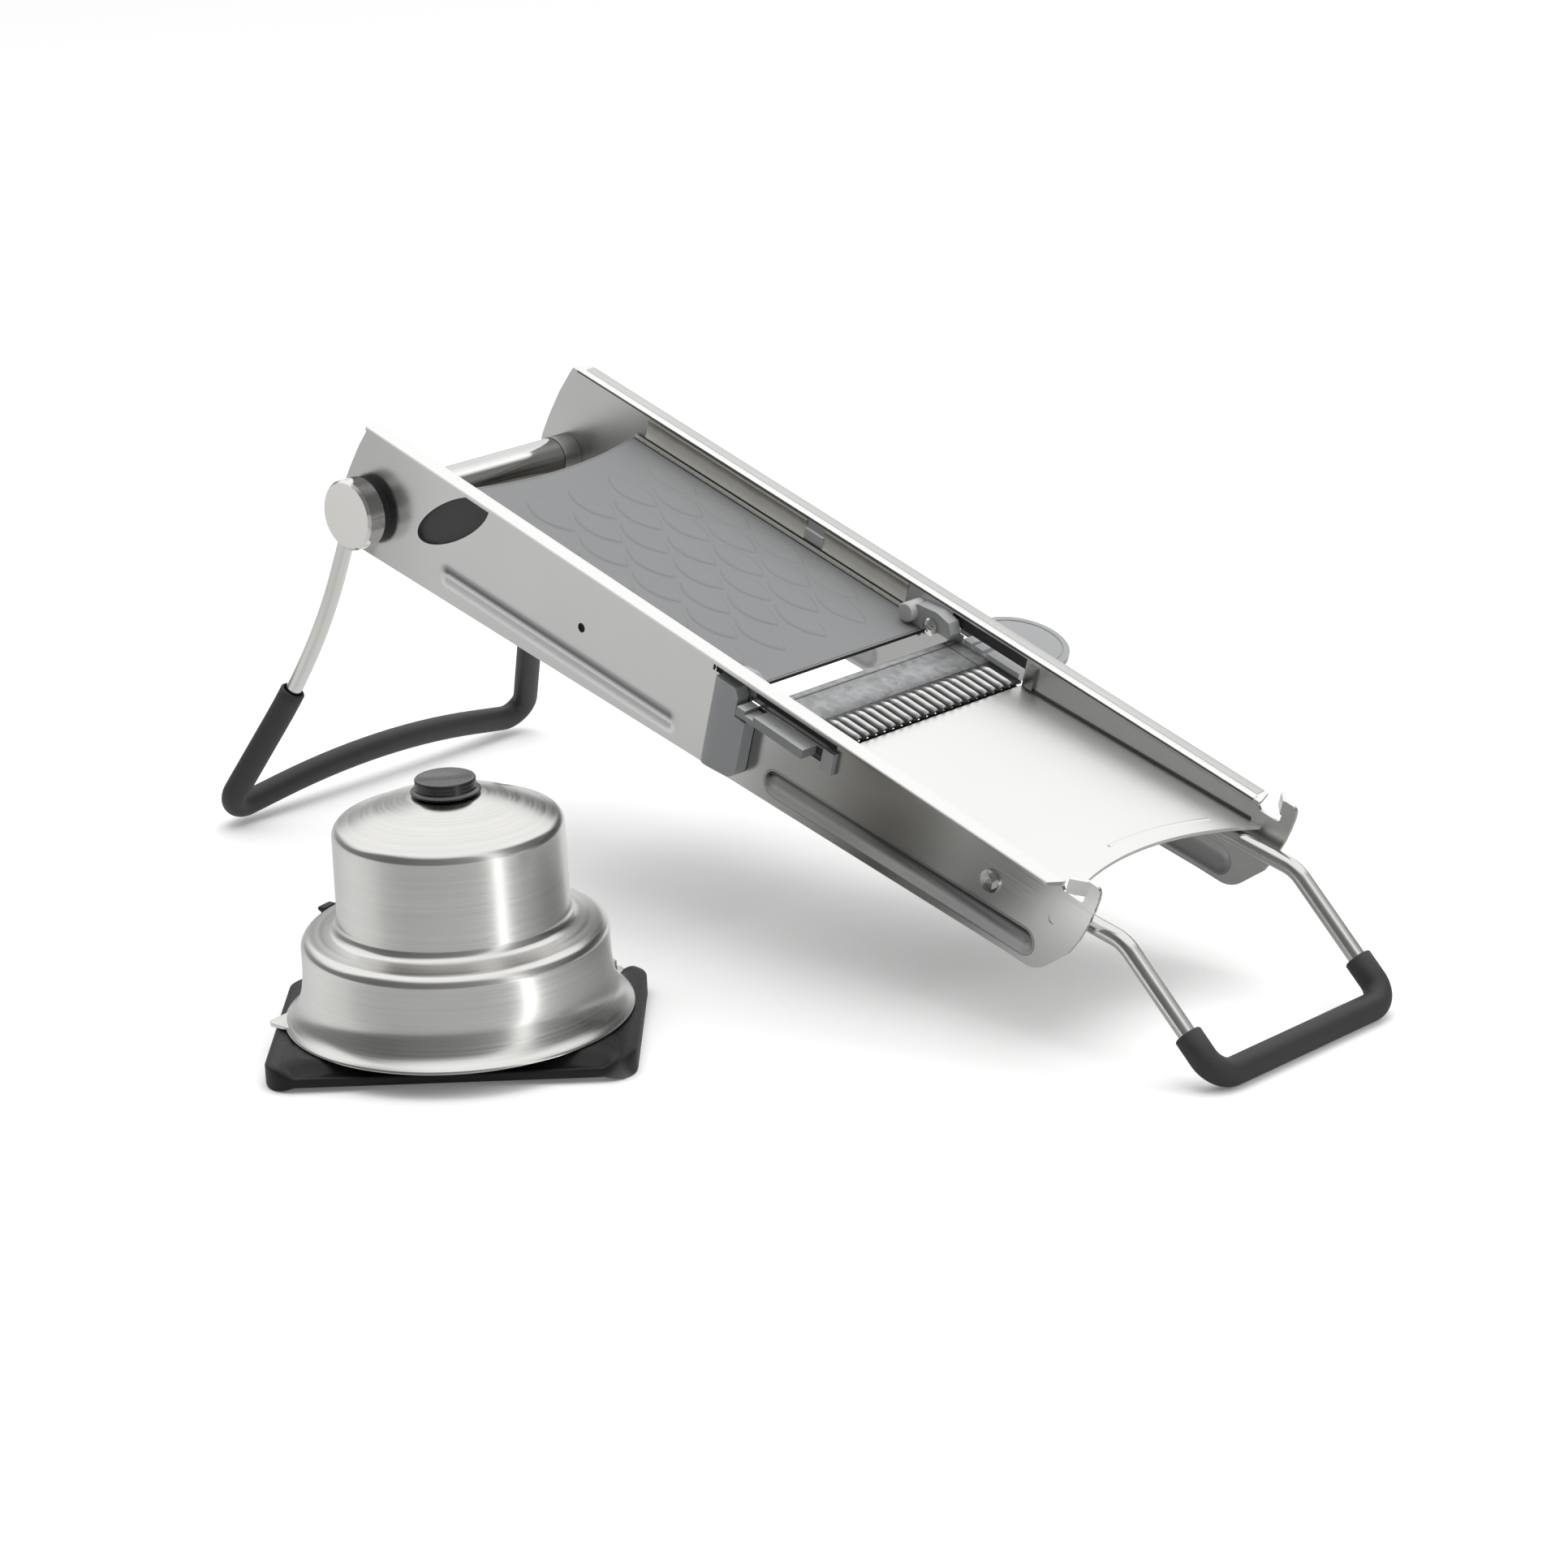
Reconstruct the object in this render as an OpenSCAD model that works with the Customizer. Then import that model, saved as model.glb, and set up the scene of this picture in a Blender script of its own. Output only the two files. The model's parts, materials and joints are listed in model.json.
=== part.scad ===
// Mandoline slicer with folding legs, adjustable ramp, removable two-edged blade and pusher.
// Millimetres, +Z up. +X runs from the high end to the low end, the floor is Z = 0.

/* [Body] */
// Length of the rails along the slope
rail_length = 400; // [320:1:460]
// Slope of the rails below the horizontal
deck_angle = 17.4; // [8:0.1:28]
// Height of the rail corner at the high end
rail_height = 189; // [150:1:230]
// Width over the outer faces of the two side plates
body_width = 115.6; // [90:0.2:150]
// Thickness of the side plates
plate_t = 1.5; // [1:0.1:3]
// Width of the outward rail on each side plate
rail_w = 6.7; // [4:0.1:10]
// Depth of the side plates at the high end
plate_depth = 58.9; // [50:0.5:75]
// Depth of the side plates at the low end
plate_depth_low = 41.5; // [36:0.5:60]
// Length of the hooked end beyond the rails
hook_length = 17.6; // [12:0.2:24]

/* [Deck] */
// Depth of the deck below the rails
deck_drop = 13.2; // [9:0.1:18]
// Position of the low edge of the ramp
ramp_end = 224; // [180:1:260]
// Position of the leading edge of the blade
blade_start = 235; // [200:1:280]
// Length of the flat part of the blade
blade_flat = 21; // [14:0.5:30]
// Length of the wavy part of the blade
wave_length = 18; // [10:0.5:24]
// Number of waves on the blade
wave_count = 22; // [12:1:30]
// Thickness of deck sheets
sheet_t = 1.5; // [1:0.1:2.5]

/* [Legs] */
// Diameter of the leg rods
rod_d = 7; // [5:0.1:9]
// Diameter of the rubber sleeves
sleeve_d = 11; // [9:0.1:14]
// Reach of the rear foot behind the hub
rear_reach = 77.5; // [50:0.5:110]
// Half width of the rear foot at its corners
rear_half = 88.5; // [72:0.5:110]
// Reach of the front foot beyond its pivots
front_reach = 102.7; // [80:0.1:140]
// Inset of the front leg rods from the outer faces
front_inset = 7.8; // [6.8:0.1:18]

/* [Pusher] */
// Position of the pusher axis along X
pusher_x = 182.4; // [100:0.1:260]
// Position of the pusher axis along Y
pusher_y = -184; // [-260:0.1:-175]
// Turn of the pusher about its axis
pusher_turn = 43.9; // [0:0.1:90]
// Radius of the upper drum
drum_r = 44.3; // [38:0.1:50]
// Radius of the lower drum
lower_r = 59; // [54:0.1:62]
// Radius of the rim
rim_r = 67.2; // [64:0.1:72]
// Height of the top of the dome
dome_z = 97.4; // [80:0.1:110]
// Width of the carriage across the rails
carriage_w = 140; // [134:0.5:150]
// Length of the carriage along the rails
carriage_l = 101; // [94:0.5:120]
// Offset of the carriage's middle from the drum axis
carriage_shift = 6; // [0:0.5:10]

/* [Hidden] */
$fn = 72;
hw = body_width / 2;            // outer face of a side plate
hi = hw - plate_t;              // inner face of a side plate
gap = 0.3;                      // running clearance between bodies
fit = 0.05;                     // radial clearance of a pin in its bore
hub = [5.5, -39.7];             // hub axis in rail coordinates
bolt = [rail_length - 32.5, -18]; // front pivot in rail coordinates
front_half = hw - front_inset;  // half spacing of the front leg rods
low = rail_length + hook_length;
land_start = blade_start + blade_flat + wave_length + 1.2;
rr = rod_d / 2;
sr = sleeve_d / 2;
pin_at = [84, -deck_drop - 7];  // ramp pivot in rail coordinates
function wx(p) = p[0] * cos(deck_angle) + p[1] * sin(deck_angle);
function wz(p) = rail_height - p[0] * sin(deck_angle) + p[1] * cos(deck_angle);
function unit(v) = v / norm(v);
function along(a, b, f) = a + (b - a) * f;
function arc(c, r, a0, a1, n) = [for (i = [0 : n]) [c[0] + r * cos(a0 + (a1 - a0) * i / n),
    c[1] + r * sin(a0 + (a1 - a0) * i / n)]];
steel = [0.80, 0.80, 0.79];
polished = [0.88, 0.88, 0.87];
coated = [0.60, 0.61, 0.63];
rubber = [0.15, 0.15, 0.16];
cast = [0.45, 0.46, 0.48];

// Places children given in rail coordinates: x along the rails, z square to them.
module deck() {
    translate([0, 0, rail_height]) rotate([0, deck_angle, 0]) children();
}

// Extrudes a profile drawn in (along, square) coordinates from y0 to y1.
module slab(y0, y1) {
    translate([0, y1, 0]) rotate([90, 0, 0]) linear_extrude(y1 - y0) children();
}

// Points of a bar path p with corner i rounded to radius b[i] in n[i] steps.
function bend(p, b, n) = [for (i = [0 : len(p) - 1])
    if (i == 0 || i == len(p) - 1) p[i] else
        let (d1 = unit(p[i] - p[i - 1]), d2 = unit(p[i + 1] - p[i]), a = acos(d1 * d2), w = unit(cross(d1, d2)),
            e = -unit(cross(w, d1)), s = p[i] - d1 * b[i] * tan(a / 2), c = s - e * b[i])
            for (k = [0 : n[i]]) c + b[i] * (cos(a * k / n[i]) * e + sin(a * k / n[i]) * d1)];
swell = 1.02;                   // ball at each joint of a bar over the bar's own radius
function lowest(p) = min([for (q = p) q[2]]);

// Round bar along the points p.
module bar(p, r) {
    union() {
        for (i = [0 : len(p) - 2]) {
            d = unit(p[i + 1] - p[i]);
            translate(p[i]) rotate([0, acos(d[2]), atan2(d[1], d[0])]) cylinder(h = norm(p[i + 1] - p[i]), r = r);
        }
        for (i = [1 : 1 : len(p) - 2]) translate(p[i]) sphere(r = swell * r);
    }
}

// Outline of a side plate below the rail line.
module plate_outline() {
    polygon(concat([[0, 0], [-1.9, -4.4], [-5.8, -14.5], [-9.4, -27]],
        arc([hub[0] + 1.2, -plate_depth + 18.6], 18.6, 165, 267, 12),
        [[rail_length - 20, -plate_depth_low - 0.4]],
        arc([rail_length - 9.6, -plate_depth_low + 13.5], 13.8, 267, 325, 7),
        [[rail_length + 9.6, -26.5], [rail_length + 13.2, -18.5], [rail_length + 15.8, -9.5],
        [rail_length + 17, -3], [low, 1.5]],
        arc([low - 2.6, 4.1], 2.6, 0, 90, 5),
        [[root, 6.7], [root, -0.4]],
        arc([root - 1.6, -1.6], 1.5, 30, -90, 6),
        [[rail_length + 1.2, -3.1], [rail_length, -1.9]]));
}

// Tab at the low end of a side plate, bent outward from its root.
root = rail_length + 11.4;
module outward_tab() {
    translate([root, -hi, 0.2]) linear_extrude(6.3)
        polygon([[0.4, 0], [0.4, -plate_t], [-5.2, -plate_t - 4.9], [-6.2, -plate_t - 3.8], [-0.9, 0]]);
}

// One slot with round ends, from a to b, of width w.
module slot2d(a, b, w) {
    l = norm(b - a);
    translate(a) rotate([0, 0, atan2(b[1] - a[1], b[0] - a[0])]) union() {
        translate([0, -w / 2]) square([l, w]);
        circle(d = w);
        translate([l, 0]) circle(d = w);
    }
}

// A side plate on the -Y side in rail coordinates. The near one has an oval opening and a slot
// for the lever, the far one a single tall opening for the blade.
module side_plate(near) {
    difference() {
        union() {
            slab(-hw, -hi) plate_outline();
            outward_tab();
            // rail, rising slightly outward, its corners cut back
            intersection() {
                rotate([90, 0, 90]) linear_extrude(rail_length)
                    polygon([[-hi, 0], [-hw - rail_w + 0.4, 0.67], [-hw - rail_w, 0.3],
                        [-hw - rail_w, -0.9], [-hw, -plate_t], [-hi, -plate_t]]);
                translate([0, 0, -5]) linear_extrude(10) polygon([[0, -hi + 1], [0, -hw], [4.4, -hw - rail_w - 1],
                    [rail_length - 2.6, -hw - rail_w - 1], [rail_length, -hw], [rail_length, -hi + 1]]);
            }
        }
        // pressed beads
        slab(-hw - 1, -hw + 1) {
            slot2d([58, 13.7 - plate_depth], [193, 16.7 - plate_depth], 10.5);
            slot2d([rail_length - 146, 3.3 - plate_depth_low], [rail_length - 12, 8.5 - plate_depth_low], 10.5);
        }
        // hub hole, bolt hole, small hole and dimple
        slab(-hw - 1, -hi + 1) {
            translate(hub) circle(r = 5 + fit);
            translate(bolt) circle(r = 2.5);
            translate([138, -28]) circle(r = 2);
        }
        slab(-hw - 1, -hw + 0.7) translate([rail_length - 0.8, -17.2]) circle(r = 1.8);
        // slanted oval, upper window, blade opening and lever slot
        slab(-hw - 1, -hi + 1) {
            if (near) {
                translate([56.2, -19.7]) rotate([0, 0, 41])
                    polygon([for (i = [0 : 59]) [25 * cos(6 * i), 8.2 * sin(6 * i)]]);
                translate([ramp_end - 12.5, window_low]) square([70, window_h]);
                translate([ramp_end - 9, -deck_drop - 17.3]) square([15, 17.5]);
            }
            translate([blade_start - 1.5, -deck_drop - 3.4])
                square([blade_flat + wave_length + 3, near ? 6.8 : window_low + window_h + deck_drop + 3.4]);
        }
    }
}

window_low = 4.9 - deck_drop;   // lower edge of the window above the ramp's low edge
window_h = 6.6;
module near_side_plate() { color(steel) deck() side_plate(true); }
module far_side_plate() { color(steel) deck() mirror([0, 1, 0]) side_plate(false); }

// Small upright lug beside the window on the near outer face.
lug_at = land_start + 1.3;
module near_window_lug() {
    color(steel) deck() translate([lug_at, -hw - 2.2, -deck_drop - 5]) cube([6, 2.2, 9.4]);
}
// Bright upright lug at the end of the far opening, on its inner face.
module far_window_lug() {
    color(steel) deck() translate([lug_at + 1, hi - 1.4, gap - deck_drop]) cube([4.4, 1.4, 10]);
}

// Fixed lower deck with turned-down sides and a hollowed end.
land_slope = 2.2;
module landing_plate() {
    color(steel) deck() translate([land_start, 0, -14]) rotate([0, -land_slope, 0]) difference() {
        union() {
            translate([0, -hi, -sheet_t]) cube([low - land_start - 14, 2 * hi, sheet_t]);
            for (m = [0, 1]) mirror([0, m, 0])
                translate([0, -hi, -7]) cube([84, sheet_t, 7]);
        }
        translate([low - land_start + 92, 0, -10]) cylinder(h = 20, r = 120, $fn = 144);
    }
}

module cross_tube() {
    color(polished) deck() difference() {
        translate([hub[0], hi, hub[1]]) rotate([90, 0, 0]) cylinder(h = 2 * hi, r = 8);
        translate([hub[0], hi + 1, hub[1]]) rotate([90, 0, 0]) cylinder(h = 2 * hi + 2, r = 5 + fit);
    }
}
module tube_rings() {
    color(polished) deck() for (m = [0, 1]) mirror([0, m, 0]) difference() {
        translate([hub[0], hi, hub[1]]) rotate([90, 0, 0]) cylinder(h = 4, r = 8.8);
        translate([hub[0], hi + 1, hub[1]]) rotate([90, 0, 0]) cylinder(h = 6, r = 8);
    }
}
module washer() {
    translate([hub[0], -hw, hub[1]]) rotate([90, 0, 0]) difference() {
        cylinder(h = 3.4, r = 14.4);
        translate([0, 0, -1]) cylinder(h = 6, r = 5 + fit);
    }
}
module near_washer() { color(rubber) deck() washer(); }
module far_washer() { color(rubber) deck() mirror([0, 1, 0]) washer(); }

// Pins that carry the ramp near its high end.
module ramp_pivot_pins() {
    color(steel) deck() for (m = [0, 1]) mirror([0, m, 0])
        translate([pin_at[0], -hi, pin_at[1]]) rotate([-90, 0, 0]) cylinder(h = 6, r = 2.5);
}

// Front pivot bolts: flanged hexagon heads outside, shanks through the plate and the leg eyes.
module front_pivot_bolts() {
    color(polished) deck() for (m = [0, 1]) mirror([0, m, 0]) translate([bolt[0], -hw, bolt[1]]) union() {
        rotate([90, 0, 0]) cylinder(h = 1, r = 4.6);
        rotate([90, 30, 0]) cylinder(h = 2.7, r = 3.4, $fn = 6);
        rotate([-90, 0, 0]) cylinder(h = hw - front_half + 6.5, r = 2.5);
    }
}
module front_pivot_nuts() {
    color(steel) deck() for (m = [0, 1]) mirror([0, m, 0])
        translate([bolt[0], -front_half + 3.5 + gap, bolt[1]]) rotate([-90, 0, 0]) difference() {
            cylinder(h = 2.6, r = 4.4, $fn = 6);
            translate([0, 0, -1]) cylinder(h = 5, r = 2.5);
        }
}

// Rear leg: a wide U of rod held in two hubs, the foot bar arched upward.
hub_w = [wx(hub), 0, wz(hub)];
function rear_side(m, z) = [
    [hub_w[0] - 4.6, m * (hw + 7.6), hub_w[2] - 8.8],
    [hub_w[0] - rear_reach * 0.5, m * (hw + 4.4), hub_w[2] * 0.562],
    [hub_w[0] - rear_reach, m * rear_half, z]];
function rear_points(z) = let (a = rear_side(-1, z), b = rear_side(1, z))
    bend([a[0], a[1], a[2], [a[2][0] + 5, 0, z + 14.5], b[2], b[1], b[0]],
        [0, 110, 9, 330, 9, 110, 0], [0, 2, 7, 3, 7, 2, 0]);
rear_path = rear_points(swell * sr - lowest(rear_points(0)));
rear_ends = len(rear_path) - 1;

module rear_leg_rod() { color(steel) bar(rear_path, rr); }
module rear_leg_sleeve() {
    color(rubber) bar([for (i = [3 : rear_ends - 3])
        i == 3 ? along(rear_path[3], rear_path[4], 0.02) :
        i == rear_ends - 3 ? along(rear_path[rear_ends - 3], rear_path[rear_ends - 4], 0.02) : rear_path[i]], sr);
}
// Hub disc with a bevelled rim, a socket for the rod and a shaft into the cross tube.
module hub_disc(m) {
    difference() {
        translate([hub_w[0], m * (hw + 3.4 + gap), hub_w[2]]) rotate([m * -90, 0, 0]) union() {
            cylinder(h = 7.4, r = 15.2);
            translate([0, 0, 7.4]) cylinder(h = 1.1, r1 = 15.2, r2 = 14.1);
            translate([0, 0, -18]) cylinder(h = 18.5, r = 5);
        }
        bar([for (i = [0, 1]) rear_path[m < 0 ? i : rear_ends - i]], rr);
    }
}
module near_hub() { color(polished) hub_disc(-1); }
module far_hub() { color(polished) hub_disc(1); }

// Front leg: a narrower U on two eyes inside the plates.
bolt_w = [wx(bolt), 0, wz(bolt)];
front_side = [for (m = [-1, 1]) [
    [bolt_w[0] + 4, m * front_half, bolt_w[2] - 0.9],
    [bolt_w[0] + 0.5764 * front_reach, m * front_half, 0.7864 * bolt_w[2]],
    [bolt_w[0] + front_reach, m * front_half, swell * sr]]];
front_path = bend([front_side[0][0], front_side[0][1], front_side[0][2],
    front_side[1][2], front_side[1][1], front_side[1][0]], [0, 16, 9.5, 9.5, 16, 0], [0, 2, 6, 6, 2, 0]);
front_ends = len(front_path) - 1;
module front_leg_rod() {
    color(steel) difference() {
        union() {
            bar(front_path, rr);
            for (m = [-1, 1]) translate([bolt_w[0], m * front_half + 3.5, bolt_w[2]])
                rotate([90, 0, 0]) cylinder(h = 7, r = 4.9);
        }
        for (m = [-1, 1]) translate([bolt_w[0], m * front_half + 6, bolt_w[2]])
            rotate([90, 0, 0]) cylinder(h = 12, r = 2.5 + fit);
    }
}
module front_leg_sleeve() {
    color(rubber) bar([for (i = [3 : front_ends - 3])
        i == 3 ? along(front_path[3], front_path[4], 0.66) :
        i == front_ends - 3 ? along(front_path[front_ends - 3], front_path[front_ends - 4], 0.66) :
        front_path[i]], sr);
}

// Adjustable ramp: coated sheet with turned-down sides, a hollowed upper edge and raised almond marks.
ramp_hw = hi - 0.8;
module lens(r) {
    intersection() {
        translate([0, -14.7]) circle(r = r, $fn = 48);
        translate([0, 14.7]) circle(r = r, $fn = 48);
    }
}
module almond(x, y) {
    translate([x, y, -deck_drop - 0.2]) linear_extrude(0.45) difference() {
        lens(20.3);
        lens(19.6);
    }
}
module ramp_plate() {
    color(coated) deck() union() {
        difference() {
            union() {
                translate([36, -ramp_hw, -deck_drop - sheet_t]) cube([ramp_end - 36, 2 * ramp_hw, sheet_t]);
                for (m = [0, 1]) mirror([0, m, 0]) {
                    translate([pin_at[0] - 7, -ramp_hw, -deck_drop - 6]) cube([ramp_end - pin_at[0] + 3, sheet_t, 6]);
                    translate([pin_at[0] - 7, -ramp_hw, -deck_drop - 12]) cube([14, sheet_t, 12]);
                }
            }
            translate([-131, 0, -deck_drop - 5]) cylinder(h = 10, r = 183, $fn = 180);
            translate([pin_at[0], hw, pin_at[1]]) rotate([90, 0, 0]) cylinder(h = 2 * hw, r = 2.5 + fit);
        }
        for (row = [0 : 7], i = [0 : 3])
            almond(80.3 + 16.3 * (row % 2) + 32.6 * i, 43.8 - 11.6 * row);
    }
}

// Stop brackets screwed to the side plates above the low corners of the ramp.
bracket_t = 6;
screw_at = [4.6, 4];
module ramp_low_corner() { translate([ramp_end, 0, -deck_drop]) children(); }
module near_ramp_bracket() {
    color(cast) deck() ramp_low_corner() difference() {
        slab(-hi, -hi + bracket_t) polygon([[-8, gap], [-8, 6.6], [-2, 9.8], [5, 10.8], [11, 8.4], [11, 4.2],
            [9, 2.8], [0, gap]]);
        translate([screw_at[0], -hw, screw_at[1]]) rotate([-90, 0, 0]) cylinder(h = 2 * bracket_t, r = 2);
    }
}
module far_ramp_bracket() {
    color(cast) deck() ramp_low_corner() difference() {
        union() {
            slab(hi - bracket_t, hi) polygon([[-12.5, gap], [-11, 5.8], [-4.5, 9.6], [6, 11], [13, 9.6],
                [15.5, 5.2], [14.5, 2.9], [9, 2.8], [0, gap]]);
            translate([-7.6, hi, 5]) rotate([90, 0, 0]) cylinder(h = bracket_t + 3, r = 3.9);
        }
        translate([screw_at[0], hw, screw_at[1]]) rotate([90, 0, 0]) cylinder(h = 2 * bracket_t, r = 2);
    }
}
// Dome-headed screws facing the middle of the ramp.
module ramp_screws() {
    color(polished) deck() ramp_low_corner() for (m = [0, 1]) mirror([0, m, 0])
        translate([screw_at[0], hi - bracket_t, screw_at[1]]) rotate([90, 0, 0]) difference() {
            union() {
                intersection() {
                    cylinder(h = 2.6, r = 3.7);
                    translate([0, 0, -3]) sphere(r = 5.6);
                }
                translate([0, 0, 0.4 - bracket_t]) cylinder(h = bracket_t, r = 2);
            }
            translate([-0.5, -2, 1.6]) cube([1, 4, 3]);
            translate([-2, -0.5, 1.6]) cube([4, 1, 3]);
        }
}

// Finger lever outside the near plate, reaching the side of the ramp through the slot.
module thickness_lever() {
    color(cast) deck() ramp_low_corner() union() {
        slab(-hw - 6.4, -hw - gap) polygon(concat([[-7, 6], [-5, 7.8], [6.4, 7.8], [8.6, 4.6], [8.6, -3.8],
            [14.4, -3.8]], arc([8.4, -25], 6, 0, -70, 6), [[-5.8, -32.4], [-6.8, -30.8]]));
        translate([-7.6, -hw - gap - 0.5, -5.6]) cube([12, hw + gap + 0.5 - ramp_hw, 5]);
    }
}

// Two-edged blade: flat leading edge, wavy trailing edge.
wave_w = 2 * (hi - 3) / wave_count;
wave_x = blade_start + blade_flat;
module blade_plate() {
    color(steel) deck() union() {
        // flat part, its leading edge ground on both faces
        translate([0, hw, 0]) rotate([90, 0, 0]) linear_extrude(2 * hw) polygon([
            [blade_start, -deck_drop - 0.75], [blade_start + 4, -deck_drop], [wave_x, -deck_drop],
            [wave_x, -deck_drop - 1.6], [blade_start + 4, -deck_drop - 1.6]]);
        // plain margins beside the waves
        for (m = [0, 1]) mirror([0, m, 0])
            translate([wave_x - 1, -hw, -deck_drop - 1.6]) cube([wave_length + 1, hw - hi + 3.6, 1.6]);
        // wavy part
        translate([wave_x - 0.5, 0, -deck_drop - 1.6]) rotate([90, 0, 90]) linear_extrude(wave_length + 0.5)
            polygon(concat(
                [for (i = [0 : wave_count]) for (k = [0, 1]) if (i < wave_count || k == 0)
                    [-hi + 3 + wave_w * (i + k / 2), k == 1 ? 3.6 : 1.2]],
                [for (j = [0 : wave_count]) let (i = wave_count - j) for (k = [1, 0]) if (i < wave_count || k == 0)
                    [-hi + 3 + wave_w * (i + k / 2), k == 1 ? 2.2 : 0]]));
    }
}
// End bars of the blade: small blocks, notches and a long bar.
bar_w = 8;
bar_l = blade_flat + wave_length - 2;
module near_blade_bar() {
    color(cast) deck() difference() {
        translate([blade_start - 0.7, -hw - bar_w, -deck_drop - 1.6]) cube([bar_l, bar_w, 3.9]);
        translate([blade_start + 3.8, -hw - bar_w - 1, -deck_drop + 0.6]) cube([4.8, bar_w + 2, 4]);
    }
}
module far_blade_bar() {
    color(cast) deck() difference() {
        translate([blade_start + 5.5, hw, -deck_drop - 1.6]) cube([bar_l - 5.5, bar_w, 3.9]);
        translate([blade_start + 10, hw - 1, -deck_drop + 0.6]) cube([1.6, bar_w + 2, 4]);
        translate([blade_start + 16.2, hw - 1, -deck_drop + 0.6]) cube([2.4, bar_w + 2, 4]);
    }
}
// Round grip plate beyond the far rail, with a shallow border line.
grip_r = (bar_l + 4.5) / 2;
module blade_grip() {
    color(cast) deck() translate([blade_start - 3.5 + grip_r, hw + bar_w, -deck_drop - 1.6]) difference() {
        linear_extrude(2.4) difference() {
            union() {
                translate([-grip_r, 0]) square([2 * grip_r, 14]);
                translate([0, 14]) circle(r = grip_r);
            }
            translate([-2 * grip_r, -2 * grip_r]) square([4 * grip_r, 2 * grip_r]);
        }
        translate([0, 14, 2.1]) difference() {
            cylinder(h = 2, r = grip_r - 2.55);
            translate([0, 0, -1]) cylinder(h = 4, r = grip_r - 3.45);
            translate([-2 * grip_r, -3 * grip_r, -1]) cube([4 * grip_r, 3 * grip_r, 4]);
        }
    }
}

// ---- pusher, standing beside the slicer ----
module at_pusher() {
    translate([pusher_x, pusher_y, 0]) rotate([0, 0, pusher_turn]) children();
}
skin = 1.2;
base_z = 9.3;
// Stepped steel drum with a flared rim and two pointed ears.
step_z = dome_z - 46.9;         // middle of the fillet between the upper and the lower drum
flare_x = rim_r - lower_r;
flare = [[0, 32], [0.05, 26], [0.17, 20.5], [0.39, 16], [0.68, 12.8], [0.9, 11.2]];
module pusher_shell() {
    color(steel) at_pusher() difference() {
        union() {
            rotate_extrude($fn = 144) polygon(concat(
                [[3 + fit, dome_z], [13, dome_z - 0.1], [16, dome_z - 0.8], [20, dome_z - 1.8], [26, dome_z - 3.6],
                [32, dome_z - 5.8], [drum_r - 6.3, dome_z - 8.5]],
                arc([drum_r - 5, step_z + 32.7], 5, 55, 0, 6),
                [[drum_r + 0.3, step_z + 1]],
                arc([drum_r + 5.2, step_z], 4.6, 170, 255, 5),
                arc([lower_r - 4.4, step_z - 10.3], 4.4, 80, 0, 6),
                [for (f = flare) [lower_r + f[0] * flare_x, f[1]]],
                [[rim_r, base_z + 0.9], [rim_r - 0.5, base_z], [rim_r - 2.2, base_z]],
                [for (i = [len(flare) - 1 : -1 : 0]) [lower_r - skin + flare[i][0] * flare_x, flare[i][1]]],
                [[lower_r - skin, step_z - 11.4], [lower_r - 6, step_z - 7.2], [drum_r - skin + 1.5, step_z - 6.2],
                [drum_r - skin, step_z - 2], [drum_r - skin - 0.2, step_z + 32], [drum_r - 8, step_z + 36.8],
                [24, dome_z - 4.6], [3 + fit, dome_z - 1.4]]));
            for (e = [[188, 5.4, 9], [30, 2.6, 7]]) rotate([0, 0, e[0]]) translate([0, 0, base_z + 0.4])
                linear_extrude(1.6) polygon([[rim_r - 1.8, -e[2]], [rim_r + e[1], -1.5],
                    [rim_r + e[1], 1.5], [rim_r - 1.8, e[2]]]);
            rotate([0, 0, 30]) translate([rim_r - 2.6, -3, base_z + 1]) cube([1.6, 6, 5.4]);
        }
        // notch that lets the latch through the rim
        translate([0, 0, base_z - 2]) linear_extrude(18)
            polygon(concat(arc([0, 0], lower_r + 0.9, 144, 158, 6), arc([0, 0], rim_r + 9, 158, 144, 1)));
    }
}
// Black carriage: rounded plate with an opening, side hooks that grip the rails.
module pusher_carriage() {
    color(rubber) at_pusher() difference() {
        translate([-carriage_w / 2, -carriage_l / 2 - carriage_shift, 0]) union() {
            translate([12, 0, 0]) cube([carriage_w - 24, carriage_l, base_z]);
            translate([0, 12, 0]) cube([carriage_w, carriage_l - 24, base_z]);
            for (x = [12, carriage_w - 12], y = [12, carriage_l - 12])
                translate([x, y, 0]) cylinder(h = base_z, r = 12);
        }
        translate([0, 0, -1]) cylinder(h = 20, r = carriage_l / 2 - carriage_shift - 3.5);
        // rail grooves and the hollow between them
        translate([-body_width / 2 - rail_w - 0.6, -carriage_l, -1])
            cube([body_width + 2 * rail_w + 1.2, 2 * carriage_l, 3.2]);
        for (m = [0, 1]) mirror([m, 0, 0])
            translate([-body_width / 2 - rail_w - 0.6, -carriage_l, 1.8]) cube([rail_w + 1.2, 2 * carriage_l, 2.6]);
    }
}
// Upright latch strap behind the drum, with a lip at its top.
module pusher_latch() {
    color(rubber) at_pusher() rotate([0, 0, 145]) rotate_extrude(angle = 12)
        polygon([[lower_r + 1.3, base_z], [lower_r + 3.6, base_z], [lower_r + 3.6, step_z - 10], [lower_r + 5, step_z - 9.6],
            [lower_r + 5, step_z - 8.2], [lower_r + 1.3, step_z - 8.2]]);
}
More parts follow.
